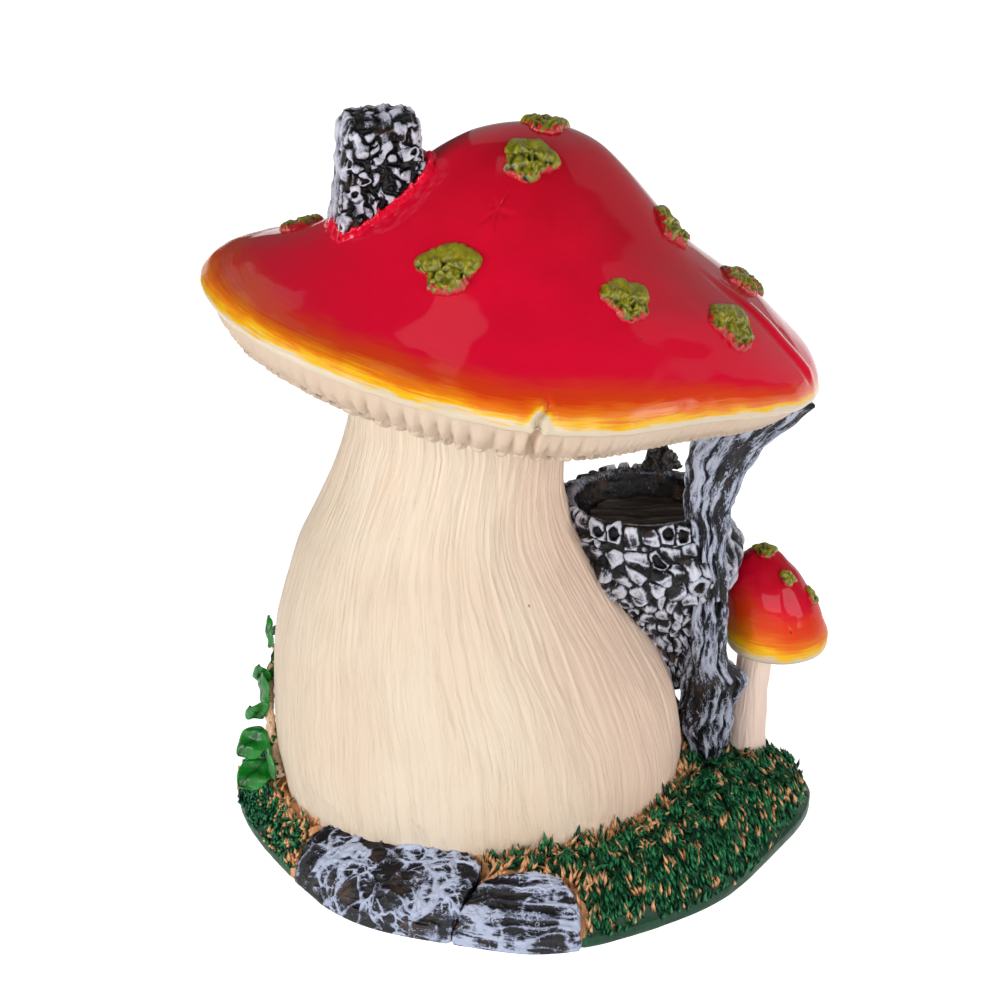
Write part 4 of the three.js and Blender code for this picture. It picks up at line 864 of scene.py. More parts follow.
turfLook = {"columns": 280, "rows": 76, "lumps": 0.35, "blades": 24000, "length": 4.1, "width": 1.1,
            "raise": 0.6, "bladeLightAndShade": [0.05, 0.3, 0.2, 0.8, 0.75],
            # the corners of a flake, as shares of its length, width and raise
            "bladeForm": [(0.0, 0.0, -0.3), (0.45, 1.0, -0.1), (0.45, -1.0, -0.1), (1.0, 0.0, 0.35),
                          (0.5, 0.0, 1.0)]}
slabCorners = {
    "front_slab_left": [(-60, -43), (-55, -37), (-45, -36), (-27, -42), (-15, -49.5), (-11, -58), (-14, -64),
                        (-19, -70), (-24, -73.5), (-40, -68), (-50, -57)],
    "front_slab_right": [(-15.5, -66.5), (-10.5, -61.5), (-1, -60), (9, -61.5), (13.5, -68), (13.5, -75),
                         (4, -78), (-20, -77)],
}


def edgeReach(corners, angle):
    # distance from the middle of the corners to the straight edges round them
    corners = np.array(corners, float)
    middle = corners.mean(0)
    way = stack(np.cos(angle), np.sin(angle))
    reach = np.full(way.shape[:-1], np.inf)
    for start, end in zip(corners - middle, np.roll(corners, -1, 0) - middle):
        edge = end - start
        turn = way[..., 0] * edge[1] - way[..., 1] * edge[0]
        turn = np.where(np.abs(turn) < 1e-9, 1e-9, turn)
        along = (start[0] * edge[1] - start[1] * edge[0]) / turn
        across = (start[0] * way[..., 1] - start[1] * way[..., 0]) / turn
        hit = (along > 0) & (across >= -1e-6) & (across <= 1 + 1e-6)
        reach = np.where(hit, np.minimum(reach, along), reach)
    return middle, reach


def slabGap(x, y):
    # how far outside the nearest slab a place is
    gap = np.full(np.shape(x), 99.0)
    for corners in slabCorners.values():
        middle = np.mean(corners, 0)
        angle = np.arctan2(y - middle[1], x - middle[0])
        gap = np.minimum(gap, np.hypot(x - middle[0], y - middle[1]) - edgeReach(corners, angle)[1])
    return gap


def stemGap(x, y):
    halfWidth, halfDepth = stemSpan(20.0)
    across, along = (x - stemMiddle(20.0)) / halfWidth, (y - trunk["y"]) / halfDepth
    return (np.hypot(across, along) - 1) * (halfWidth + halfDepth) / 2


def smoothBand(angle, share):
    # the lower right edge carries no grass
    band = np.maximum(bumpAt(angle, -0.2, 0.6), 0.7 * bumpAt(angle, -1.0, 0.6))
    return band * smoothStep(0.990, 0.999, share)


def grassBlades(ground, look, seed):
    # flakes of grass that lie on the slope of the ground and point up it
    pick = np.random.default_rng(seed)
    across = np.roll(ground, -1, 1)[:-1] - ground[:-1]
    upward = ground[1:] - ground[:-1]
    area = np.linalg.norm(np.cross(across, upward), axis=-1) * (ground[:-1, :, 2] > 0.8)
    i, j = np.divmod(pick.choice(area.size, look["blades"], p=area.ravel() / area.sum()), ground.shape[1])
    foot = ground[i, j] + across[i, j] * pick.random((len(i), 1)) + upward[i, j] * pick.random((len(i), 1))
    normal = gridNormals(ground)[i, j]
    x, y = foot[:, 0], foot[:, 1]
    angle, share = np.arctan2(y, x), moundShare(x, y)
    gap = np.minimum(stemGap(x, y), slabGap(x, y))
    free = (stemGap(x, y) > 0.2) & (slabGap(x, y) > 0.9) & (np.hypot(x - 61.5, y - 5) > 5.8)
    free &= (np.hypot((x - 50) / 1.1, y + 1) > 5.6) & (pick.random(len(i)) > smoothBand(angle, share))
    free &= (stripAt(x, y) < 0.5) & (share > 0.3) & (pick.random(len(i)) > 0.75 * smoothStep(2.6, 1.2, gap))
    foot, normal, gap, x, y = [values[free] for values in (foot, normal, gap, x, y)]
    count = len(foot)
    fringe = bell(gap / 2.8)
    steep = np.sqrt(np.maximum(1 - normal[:, 2] ** 2, 0))[:, None]
    up = np.array([0, 0, 1.0]) - normal * normal[:, 2:]
    inward = -foot * np.array([1, 1, 0]) / np.hypot(x, y)[:, None]
    way = up / np.maximum(steep, 0.05) * smoothStep(0.05, 0.35, steep)
    way = way + 0.5 * inward * smoothStep(0.4, 0.1, steep)
    curly = np.maximum(smoothStep(-42, -60, x), 0.35 * smoothStep(0.55, 0.25, steep[:, 0]))
    way = way + np.cross(normal, way) * (pick.normal(0, 1, count) * (0.22 + 1.3 * curly))[:, None]
    way = way + normal * (0.06 + 0.45 * fringe + 0.18 * pick.random(count))[:, None]
    way = unit(way)
    side = np.cross(way, normal)
    side = unit(side)
    length = look["length"] * pick.uniform(0.55, 1.2, count) * (1 + 0.35 * fringe - 0.3 * curly)
    width = look["width"] * pick.uniform(0.7, 1.3, count) * (1 + 0.3 * curly) / 2
    rise = look["raise"] * pick.uniform(0.5, 1.4, count)
    points = np.stack([foot + way * (length * along)[:, None] + side * (width * wide)[:, None]
                       + normal * (rise * lift)[:, None] for along, wide, lift in look["bladeForm"]], 1)
    faces = np.array([(0, 1, 4), (1, 3, 4), (3, 2, 4), (2, 0, 4), (0, 2, 3), (0, 3, 1)])
    faces = faces + (np.arange(count) * points.shape[1])[:, None, None]
    # painted shade at the foot of each flake, painted highlight at its tip and raised middle, with a random
    # tone per flake
    relief = np.array(look["bladeLightAndShade"]) + pick.uniform(-0.3, 0.4, count)[:, None]
    # orange and peach dabs, in clumps and singly
    clump = smoothStep(0.25, 0.36, noise(foot, 2.6, 35) + 0.25 * noise(foot, 11, 37))
    orange = pick.random(count) < 0.04 + 0.75 * clump + 0.75 * fringe - 0.05 * smoothStep(-42, -60, x)
    fleck = np.repeat(orange * pick.uniform(0.6, 1.2, count), points.shape[1])
    points = points.reshape(-1, 3)
    return points, [faces.reshape(-1, 3)], {"flow": points, "relief": relief.ravel(), "fleck": fleck}


def stripAt(x, y):
    # flat bare strip between the left slab and the stem
    return np.exp(-(((x + 41) / 10) ** 4)) * np.exp(-(((y + 35.5) / 3.4) ** 4))


def moundShape():
    look = turfLook
    angles = turns(look["columns"])
    under = [(0.02, 0.0), (0.6, 0.0), (0.985, 0.0), (1.0, 0.04), (1.0, 0.1)]
    shares = 1 - np.linspace(0, 1, look["rows"]) ** 1.4 * 0.98
    share, level = columnsOf(under + list(zip(shares, readCurve(mound["section"], shares))))
    share = share + 0 * angles
    reach = share * moundReach(angles)
    x, y = reach * np.cos(angles), reach * np.sin(angles)
    rooted = smoothStep(0.2, 0.5, level) * smoothStep(0.2, 0.5333, share)
    base = stack(x, y, mound["crown"] * level + rooted * tuftAt(x, y))
    angle = np.broadcast_to(angles, share.shape)
    smooth = smoothBand(angle, share)
    lump = look["lumps"] * (noise(base, 6, 31) + 0.6 * noise(base, 2.6, 32))
    near = cells(base, (1.6, 1.6, 2.6), 33)[0]
    tuft = 0.5 * (0.5 - near)
    height = (lump + (tuft - 0.3) * (1 - smooth)) * smoothStep(0.2, 1.6, base[..., 2])
    height += 0.9 * bell(stemGap(x, y) - 1.3) * (0.7 + 0.8 * noise(base, 3, 38))
    height -= 1.2 * smoothStep(0.5, -1.5, stemGap(x, y))
    height += 0.5 * stripAt(x, y)
    points = pushed(base, height)
    under = smoothStep(1.0, 0.0, slabGap(x, y))
    points[..., 2] = np.maximum(points[..., 2] - 2.5 * under, 0)
    points[..., :2] *= (1 - 0.022 * under)[..., None]
    gap = np.minimum(stemGap(x, y), slabGap(x, y))
    bare = bell(gap / 2.6) * (share > 0.4)
    curly = smoothStep(-42, -60, x) * smoothStep(0.35, 0.6, noise(base, 5, 36) + 0.3)
    fleck = 0.45 * smoothStep(0.5, 0.8, near) + 0.95 * bare + 0.05 * curly + 0.2 * noise(base, 9, 34)
    fleck = (fleck + 1.2 * stripAt(x, y)) * (1 - smooth)
    # painted highlight on the tops of the grass clumps and painted shade between them, from the tuft term
    relief = 0.28 + 0.5 * tuft + 0.3 * bare + 0.02 * smooth + 0.4 * stripAt(x, y)
    ground = closedGrid(points, {"flow": base, "relief": relief, "fleck": fleck})
    return joined([ground, grassBlades(points[3:], look, 7)])


addPiece("ground_mound", moundShape(), "turf")
print("mound made")


# Flat stones: the two slabs, the path and the step

slabLook = {"columns": 420, "rows": 104, "rise": 1.6}


def cellNet(points, size, seed, width):
    # 1 on the borders between cells
    near, second = cells(points, size, seed, 0.95)[:2]
    return bell((second - near) / width)


def stoneRelief(points, look, seed):
    # a net of thin crests round shallow hollows, with long strokes between
    cell, streak, share = np.array(look["cell"]), np.array(look["streak"]), look["hollow"]
    flat = warped(warped(points * np.array([1, 1, 0.7]), 8, 2.2, seed + 4), 2.2, 0.7, seed + 5)
    net = cellNet(flat, cell, seed, 0.10)
    fine = cellNet(flat, cell * 0.42, seed + 1, 0.11)
    stroke = crests(warped(points, 9, 1.0, seed + 7), streak, seed + 2, 0.2)
    thread = crests(warped(points, 5, 0.8, seed + 9), streak * 0.5, seed + 3, 0.2)
    broad = noise(points, 8, seed + 3)
    where = smoothStep(-0.25, 0.3, noise(points, 9, seed + 8))
    height = share * (net + 0.4 * fine * where - 0.4) + (1 - share) * (0.8 * stroke - 0.3) + 0.7 * broad
    relief = 0.08 + share * (0.4 + 0.4 * where) * (1.1 * net + 0.9 * fine * where) + 0.06 * where
    return height, relief + (1.1 - share) * (0.5 * stroke + 0.4 * thread * where) + 0.22 * broad


def flatStone(corners, floor, look, seed):
    angles = turns(look["columns"])
    middle, reach = edgeReach(corners, angles)
    # from under the stone over its side to the middle of its top
    profile = [(0.02, 0.0), (0.5, 0.0), (0.97, 0.0), (1.0, 0.12)]
    profile += [(1.0, level) for level in np.linspace(0.2, 0.86, 14)] + [(0.995, 0.92), (0.975, 0.97)]
    profile += [(share, 1.0) for share in np.linspace(0.95, 0.02, look["rows"])]
    share, level = columnsOf(profile)
    x, y = middle[0] + share * reach * np.cos(angles), middle[1] + share * reach * np.sin(angles)
    inside = 1 / np.maximum(moundShare(x, y), 1)
    x, y = x * inside, y * inside
    swell = 0.5 * np.sin(0.35 * x + seed) * np.cos(0.3 * y + seed) * (1 - share)
    base = stack(x, y, floor + level * (turfHeight(x, y) + look["rise"] + swell - floor))
    height, relief = stoneRelief(base, look, seed)
    return closedGrid(pushed(base, height * smoothStep(0.0, 0.5, level)), {"flow": base, "relief": relief})


slabSettings = {
    "front_slab_left": {**slabLook, "cell": (8, 5.5, 9), "streak": (16, 3.2, 2.4), "hollow": 0.75},
    "front_slab_right": {**slabLook, "cell": (8, 5, 8), "streak": (20, 3.4, 2.2), "hollow": 0.3},
}
for seed, (name, corners) in enumerate(slabCorners.items()):
    addPiece(name, flatStone(corners, 0.0, slabSettings[name], 41 + seed), "slate")

pathLook = {"radius": 6, "depth": 3.5, "places": [(65.5, -8), (66, 7.5)], "columns": 120, "rows": 26,
            "rise": 1.6, "cell": (5, 4, 5), "streak": (8, 2.4, 2), "hollow": 0.4}
for index, (distance, aside) in enumerate(pathLook["places"]):
    centre = fromWall(np.array([[aside, 0.0, distance]]), doorPlace)[0]
    turn = np.arange(7) / 7 * 2 * np.pi + index
    reach = pathLook["radius"] * (1 + 0.14 * np.sin(3 * turn + index))
    corners = circle((1.15 * reach, 0.8 * reach), turn, 0, centre)[:, :2]
    floor = float(turfHeight(centre[0], centre[1])) - pathLook["depth"]
    addPiece(f"path_stone_{index + 1}", flatStone(corners, floor, pathLook, 45 + index), "slate")
print("slabs made")


# Blocks with rounded edges, in any upright frame

def blockGrid(halves, columns, rows, exponent):
    # a box whose edges are rounded, as a grid round the Z axis
    power, around = 2 / exponent, turns(columns)
    rise = np.linspace(-np.pi / 2, np.pi / 2, rows + 2)[1:-1, None]
    wide, tall = np.cos(rise) ** power, boxed(np.sin(rise), power)
    return stack(halves[0] * wide * boxed(np.cos(around), power),
                 halves[1] * wide * boxed(np.sin(around), power), halves[2] * tall)


stepLook = {"width": 34, "reach": 6, "within": 8, "height": 2.4, "below": 4, "roughness": 0.5,
            "cell": (9, 9, 5), "streak": (7, 2.5, 2)}


def stepShape():
    look = stepLook
    deep, reach = look["height"] + look["below"], look["reach"] + look["within"]
    grid = blockGrid((look["width"] / 2, deep / 2, reach / 2), 180, 60, 7.0)
    near, second = cells(grid, look["cell"], 51)[:2]
    rough = 0.9 * layered(grid, look["streak"], 3, 52) - 0.8 * smoothStep(0.25, 0.0, second - near)
    grid = pushed(grid, look["roughness"] * rough)
    grid[..., 1] -= deep / 2 + seatGap
    grid[..., 2] += doorFace + 3 + reach / 2
    return closedGrid(fromWall(grid, doorPlace), {"flow": grid, "relief": 0.55 + 0.5 * rough})


addPiece("door_step", stepShape(), "slate")


# Door, its surround and furniture, and the window

def wallDepth(x, z, place):
    # how far out the stem's face is, at a shift aside and a height
    angle = np.full(np.broadcast(x, z).shape, math.atan2(place["out"][1], place["out"][0]))
    halfWidth, halfDepth = stemSpan(z)
    for _ in range(5):
        point = stemPoint(angle, z) - place["origin"]
        slope = stack(-halfWidth * np.sin(angle), halfDepth * np.cos(angle), 0 * angle)
        angle = angle - ((point @ place["across"]) - x) / (slope @ place["across"])
    return (stemPoint(angle, z) - place["origin"]) @ place["out"]


def archReach(width, height, angle, middleY):
    # from a place on the middle line of an arch to its outline
    half = width / 2
    way = stack(np.cos(angle), np.sin(angle))
    across = half / np.maximum(np.abs(way[..., 0]), 1e-6)
    down = np.where(way[..., 1] < 0, middleY / np.maximum(-way[..., 1], 1e-6), np.inf)
    rise = (height - half) - middleY
    middle = way[..., 1] * rise
    over = middle + np.sqrt(np.maximum(middle**2 - rise**2 + half**2, 0))
    straight = np.minimum(across, down)
    return np.where(straight * way[..., 1] > rise, over, straight)


def doorShape():
    look = doorLook
    angles = turns(320)
    middleY = look["height"] * 0.45
    reach = archReach(look["width"], look["height"], angles, middleY)
    profile = [(0.02, 0.0), (0.6, 0.0), (0.99, 0.0), (1.0, 0.3), (1.0, 1.6), (0.99, 2.1), (0.97, 2.2)]
    profile += [(share, look["thickness"]) for share in np.linspace(0.95, 0.02, 90)]
    share, level = columnsOf(profile)
    grid = circle(share * reach, angles, level, (0, middleY))
    plank = np.abs((grid[..., 0] / look["plank"] + 0.5) % 1 - 0.5) * look["plank"]
    groove = bell(plank / 0.35)
    streak = layered(grid, (1.2, 16, 4), 3, 61)
    front = smoothStep(1.8, 2.2, grid[..., 2])
    grid[..., 2] += front * (0.3 * streak - 0.7 * groove - 0.3)
    flow = stack(grid[..., 0], grid[..., 2], grid[..., 1])
    relief = 0.55 + 0.4 * streak - 0.6 * groove
    grid[..., 2] += doorFace - look["thickness"]
    return closedGrid(fromWall(grid, doorPlace), {"flow": flow, "relief": relief})


addPiece("door_leaf", doorShape(), "doorWood")

surroundLook = {"blocks": 15, "rows": 420, "columns": 40}


def surroundShape():
    look, door = surroundLook, doorLook
    half = door["width"] / 2 + door["surround"] / 2
    crown = door["height"] - door["width"] / 2
    straight = crown + 1
    arc = np.pi * half
    along = np.linspace(0.004, 0.996, look["rows"]) * (2 * straight + arc)
    turn = np.clip((along - straight) / arc, 0, 1) * np.pi
    x = half * np.cos(turn)
    y = np.where(along > straight + arc, 2 * straight + arc - along - 1, crown + half * np.sin(turn))
    y = np.where(along < straight, along - 1, y)
    out = stack(np.cos(turn), np.sin(turn))
    around = turns(look["columns"])
    wide = boxed(np.cos(around), 0.4) * door["surround"] / 2
    tall = boxed(np.sin(around), 0.4)
    length = (along[-1] + along[0]) / look["blocks"]
    place = along / length
    inBlock = np.abs(place % 1 - 0.5) * length
    gap = smoothStep(length / 2 - 0.8, length / 2, inBlock)[:, None]
    block = np.floor(place)[:, None]
    size = 1 + 0.16 * np.sin(block * 5.3) - 0.3 * gap
    sideX = x[:, None] + out[:, :1] * wide * size
    sideY = y[:, None] + out[:, 1:] * wide * size
    face = wallDepth(sideX, door["sill"] + np.clip(sideY, 0, 60), doorPlace)
    proud, outer = (door["proud"] + 0.8) / 2, tall > 0
    depth = face + proud + tall * (proud - 0.2) - 0.9 * gap * outer + 0.5 * np.sin(block * 3.7) * outer
    grid = stack(sideX, sideY, depth)
    relief = 0.5 + 0.5 * layered(grid, 2.6, 3, 63) - 0.9 * gap
    grid = pushed(grid, -0.35 * layered(grid, 2.2, 3, 64))
    return closedGrid(fromWall(grid, doorPlace), {"flow": grid, "relief": relief})


addPiece("door_surround", surroundShape(), "stone")

strapLook = {"length": 17, "width": 2.6, "thickness": 0.9, "nails": (0.08, 0.35, 0.62),
             "taper": [(0, 1), (0.06, 0.8), (0.1, 0.6), (0.7, 0.5), (0.85, 0.9), (1, 0.05)],
             "heights": {"door_strap_lower": 0.2, "door_strap_upper": 0.66}}


def strapShape(level, seed):
    look = strapLook
    grid = blockGrid((0.5, 0.5, 0.5), 48, 60, 8.0)
    across, out, along = grid[..., 0], grid[..., 1], grid[..., 2] + 0.5
    nail = sum(bell((along - at) * look["length"] / 0.7) for at in look["nails"])
    depth = doorFace + 0.1 + (out + 0.5) * look["thickness"] + 0.35 * nail * (out > 0.2) * bell(across / 0.3)
    wide = look["width"] * readCurve(look["taper"], along)
    local = stack(1 - doorLook["width"] / 2 + along * look["length"],
                  doorLook["height"] * level + across * wide, depth)
    local[..., 2] += 0.1 * noise(local, 1.4, seed) * (out > 0)
    return closedGrid(fromWall(local, doorPlace)[::-1], {"flow": local})


for seed, (name, level) in enumerate(strapLook["heights"].items()):
    addPiece(name, strapShape(level, 65 + seed), "iron")

knobLook = {"columns": 48, "rough": 0.06, "seed": 67,
            "at": (doorLook["width"] / 2 - 4.5, doorLook["height"] * 0.4),
            "profile": [(0.05, 0), (0.75, 0), (0.7, 0.4), (0.68, 1.0), (1.2, 1.3), (1.5, 1.9), (1.3, 2.4),
                        (0.7, 2.6), (0.05, 2.65)]}
paneLook = {"columns": 96, "rough": 0.08, "seed": 68, "at": (0, 0),
            "profile": [(0.1, 0), (7.9, 0), (8, 0.4), (7.9, 0.9), (7, 1.0), (4, 1.05), (2, 0.95), (0.1, 1.0)]}


def turnedShape(look, place, depth):
    # profile rows are (radius, level) along the way out of the wall
    rows = np.array(look["profile"], float)
    fine = np.linspace(0, len(rows) - 1, len(rows) * 8)
    radius, level = [np.interp(fine, np.arange(len(rows)), part)[:, None] for part in rows.T]
    grid = circle(radius, turns(look["columns"]), level)
    local = pushed(grid, look["rough"] * layered(grid, 2.2, 3, look["seed"])) + np.array([*look["at"], depth])
    return closedGrid(fromWall(local, place), {"flow": local})


addPiece("door_knob", turnedShape(knobLook, doorPlace, doorFace + 0.1), "brass")
addPiece("window_pane", turnedShape(paneLook, windowPlace, windowFace - windowLook["pane"]), "pane")


def windowFrameShape():
    look = windowLook
    turn = turns(260)
    around = turns(32)
    wide = boxed(np.cos(around), 0.5) * look["frame"] / 2
    tall = boxed(np.sin(around), 0.5)
    piece = np.abs((turn / (2 * np.pi) * 12) % 1 - 0.5)
    gap = smoothStep(0.42, 0.5, piece)
    radius = look["radius"] + look["frame"] / 2 + 0.1 + wide[:, None] * (1 - 0.2 * gap)
    x, y = radius * np.cos(turn), radius * np.sin(turn)
    face = wallDepth(x, look["height"] + y, windowPlace)
    proud = (look["proud"] + 1.0) / 2
    grid = stack(x, y, face + proud - 0.4 + tall[:, None] * proud - 0.4 * gap * (tall[:, None] > 0))
    streak = layered(stack(turn * 9 + 0 * radius, radius, grid[..., 2] - face), (9, 1.2, 1.2), 3, 71)
    grid = pushed(grid, 0.25 * streak)
    return hoop(fromWall(grid, windowPlace), {"flow": grid, "relief": 0.6 + 0.4 * streak - 0.5 * gap})


addPiece("window_frame", windowFrameShape(), "doorWood")


def windowBarShape():
    half, length = windowLook["bar"] / 2, windowLook["radius"] - 0.6
    bars = []
    for seed, halves in ((72, (half, length, half)), (73, (length, half, half))):
        grid = blockGrid(halves, 160, 30, 6.0)
        streak = layered(grid, 1.6, 2, seed)
        grid = pushed(grid, 0.12 * streak)
        grid[..., 2] += windowFace + 0.2 + half
        bars.append(closedGrid(fromWall(grid, windowPlace), {"flow": grid, "relief": 0.6 + 0.5 * streak}))
    return joined(bars)


addPiece("window_bars", windowBarShape(), "doorWood")
print("door and window made")


# Masonry: roof-shaped and hollow stones with deep black between

def masonry(points, u, v, columns, look, seed):
    # u runs round in stones, v up in stones; returns height and relief
    bent = stack(u, v) + look["warp"] * stack(*[noise(points, look["bend"], seed + step) for step in (2, 3)])
    near, second, pick, way = cells(bent, 1.0, seed, look["jitter"], columns)
    rough = noise(points, 1.1, seed + 4)
    mortar = smoothStep(look["mortar"], 0.03, second - near + 0.07 * rough)
    turn = pick * 60
    fold = way[..., 0] * np.cos(turn) + way[..., 1] * np.sin(turn)
    tilt = way[..., 1] * np.cos(turn * 1.7) + way[..., 0] * np.sin(turn * 1.7)
    ring = (pick * 7 % 1 < look["rings"]) * 1.0
    hollow = ring * smoothStep(0.34, 0.2, near * (1 + 0.25 * rough))
    rim = ring * smoothStep(0.2, 0.36, near)
    ridge = (1 - ring) * bell(fold / 0.09)
    roofed = (1 - ring) * (0.35 - 1.3 * np.abs(fold) + 0.7 * tilt)
    stone = 0.75 + 0.5 * (pick * 13 % 1 - 0.5) + roofed + 0.15 * rim
    height = look["proud"] * ((1 - mortar) * stone - hollow)
    relief = (1 - mortar) * (0.22 + 0.45 * ridge + 1.15 * tilt * (1 - ring) + 0.3 * rim + 0.15 * rough)
    edge = bell((second - near - look["mortar"]) / 0.07)
    relief = relief + 0.3 * edge - 0.8 * hollow
    return height, relief


chimneyLook = {"middle": (-35.6, -8), "top": capHeight + 55, "half": (8.6, 7.4), "splay": 4.6, "length": 44,
               "crown": 1.6, "turn": math.radians(14), "squareness": 5, "columns": 380, "rows": 220}


def chimneyReach(angle, level):
    look = chimneyLook
    splay = look["splay"] * (1 - level)
    across = np.abs(np.cos(angle) / (look["half"][0] + splay)) ** look["squareness"]
    along = np.abs(np.sin(angle) / (look["half"][1] + splay)) ** look["squareness"]
    return (across + along) ** (-1 / look["squareness"])


def chimneyShape():
    look = chimneyLook
    angles = turns(look["columns"])
    profile = [(0.02, 0.3)] + [(1.0, level) for level in np.linspace(0.3, 0.96, look["rows"])]
    profile += [(0.97, 0.98), (0.93, 0.993)] + [(share, 1.0) for share in np.linspace(0.88, 0.03, 34)]
    share, level = columnsOf(profile)
    z = look["top"] - look["length"] + level * look["length"] + look["crown"] * (level >= 1) * (1 - share)
    base = circle(share * chimneyReach(angles, level), angles + look["turn"], z, look["middle"])
    top = 1 - smoothStep(0.99, 0.94, level)
    # black crevices wind between pale stones, some of them hollow; the narrow left face is all upright folds
    bent = warped(base, 2.6, 0.9, 82) * 1.3
    near, _, pick, way = cells(bent, (4.3, 4.3, 4.8), 81)
    ring = pick * 7 % 1 < 0.42
    hollow = ring * smoothStep(0.27, 0.17, near)
    rim = ring * bell((near - 0.33) / 0.07)
    crevice = crests(bent, (4.2, 4.2, 4.8), 86, 0.17)
    holed = smoothStep(-0.05, 0.3, noise(base, 5, 88) + 0.25 * (0.6 - level))
    holes = crests(bent, (2.7, 2.7, 3.6), 90, 0.18) * holed
    dark = np.clip(crevice * (1 - rim) + holes + hollow, 0, 1)
    facet = way[..., 0] * np.cos(pick * 50) + way[..., 2] * np.sin(pick * 50)
    left = bumpAt(angles, math.pi - look["turn"], 0.75) * (1 - top)
    folds = noise(warped(base, 3, 0.8, 87), (1.7, 1.7, 5.5), 89)
    height = (0.6 - 1.5 * dark + 0.5 * facet) * (1 - left) + left * (1.3 * folds + 0.2)
    relief = (0.6 - dark + 0.5 * facet + 0.35 * rim) * (1 - left) + left * (0.5 + 0.85 * folds)
    lumps = 1.3 * (0.5 - cells(warped(base, 4, 0.8, 92), 3.6, 83)[0])
    height = height * (1 - top) + (lumps + 0.5 * layered(base, 3, 2, 84) - 0.7 * dark) * top
    relief = relief * (1 - top) + top * (0.45 + 0.8 * lumps - 0.6 * dark)
    raised = bell((base[..., 0] + 29) / 3.5) * bell((base[..., 1] + 9) / 5) * 1.6 * (level > 0.9)
    points = pushed(base, height * np.minimum(share * 6, 1))
    points[..., 2] += raised
    relief = relief + 0.25 * (level - 0.7) + 0.1 * noise(base, 9, 85)
    return closedGrid(points, {"flow": base, "relief": relief})


addPiece("chimney_stack", chimneyShape(), "stone")


def roofUnder(x, y):
    # height of the roof's outer face over a place in the house frame
    cosTilt, sinTilt = math.cos(cap["tilt"]), math.sin(cap["tilt"])
    across = (x - cap["x"]) / cosTilt
    for _ in range(14):
        height = roofPoint(across, y - cap["y"])[..., 2]
        across = 0.5 * across + 0.5 * ((x - cap["x"]) - height * sinTilt) / cosTilt
    return capHeight - across * sinTilt + height * cosTilt


def collarShape():
    look = chimneyLook
    angles = turns(420)
    steps = np.linspace(0, 1, 26)[:, None]
    ring = circle(20, angles, 0)
    wide = 2.0 + 1.0 * noise(ring, 4.5, 86) + 0.5 * noise(ring, 1.9, 87)
    tall = 1.3 + 1.0 * noise(ring, 3.2, 88) + 1.5 * np.maximum(noise(ring, 1.3, 89), 0)
    out = readCurve([(0, -1.6), (0.3, 0.1), (0.55, 0.35), (1, 1)], steps)
    rise = readCurve([(0, -0.4), (0.25, 0.9), (0.42, 1.0), (0.62, 0.72), (0.85, 0.3), (1, -0.2)], steps)
    reach = chimneyReach(angles, 0.45) + np.where(out > 0, out * wide, out)
    base = circle(reach, angles + look["turn"], 0.0, look["middle"])
    base[..., 2] = roofUnder(base[..., 0], base[..., 1]) + rise * tall
    lift = 0.55 * (0.5 - cells(base, 1.7, 90)[0]) * np.sin(np.pi * np.clip(steps, 0.05, 0.95))
    points = pushed(base, -lift)[::-1]
    points = np.concatenate([points[:1] - np.array([0, 0, 1.0]), points, points[-1:] - np.array([0, 0, 3.0])])
    return hoop(points, {"flow": points, "fade": np.full(points.shape[:2], 40.0)})


addPiece("chimney_collar", collarShape(), "redGloss")
print("chimney made")


# Moss

mossLook = {"radius": 6.8, "height": 1.5, "section": [(0, 1), (0.5, 0.92), (0.84, 0.64), (1, 0)],
            "places": [(-3, 1, 0.85), (-6, -14, 1), (32, -2, 0.95), (53, 4, 0.85), (49.4, -22.5, 1.05),
                       (22, -33.3, 0.95), (-20.5, -33.5, 1.1), (-57, 14, 0.85), (-29, 13, 0.75), (12, 22, 1),
                       (36, 25, 0.95), (-13, 36, 1), (16, 47, 0.9), (-38, 31, 0.9), (57, 17, 0.8)],
            "smallRadius": 3, "smallHeight": 0.9,
            "smallPlaces": [(0.5, -0.5, 1.1), (5.6, -6, 0.8), (11, -2.5, 0.9), (-2, 8, 1)]}


def overSurface(pointAt, x, y):
    # a way to lay a patch over a surface round one place: u and v run along it, lift stands out of it
    x, y = np.array(float(x)), np.array(float(y))
    middle, normal = pointAt(x, y), surfaceNormal(pointAt, x, y)
    across = unit(np.array([1, 0, 0]) - normal * normal[0])
    along = np.cross(normal, across)

    def place(u, v, lift):
        spot = middle + u[..., None] * across + v[..., None] * along
        x, y = spot[..., 0], spot[..., 1]
        return pointAt(x, y) + surfaceNormal(pointAt, x, y) * lift[..., None]
    return place


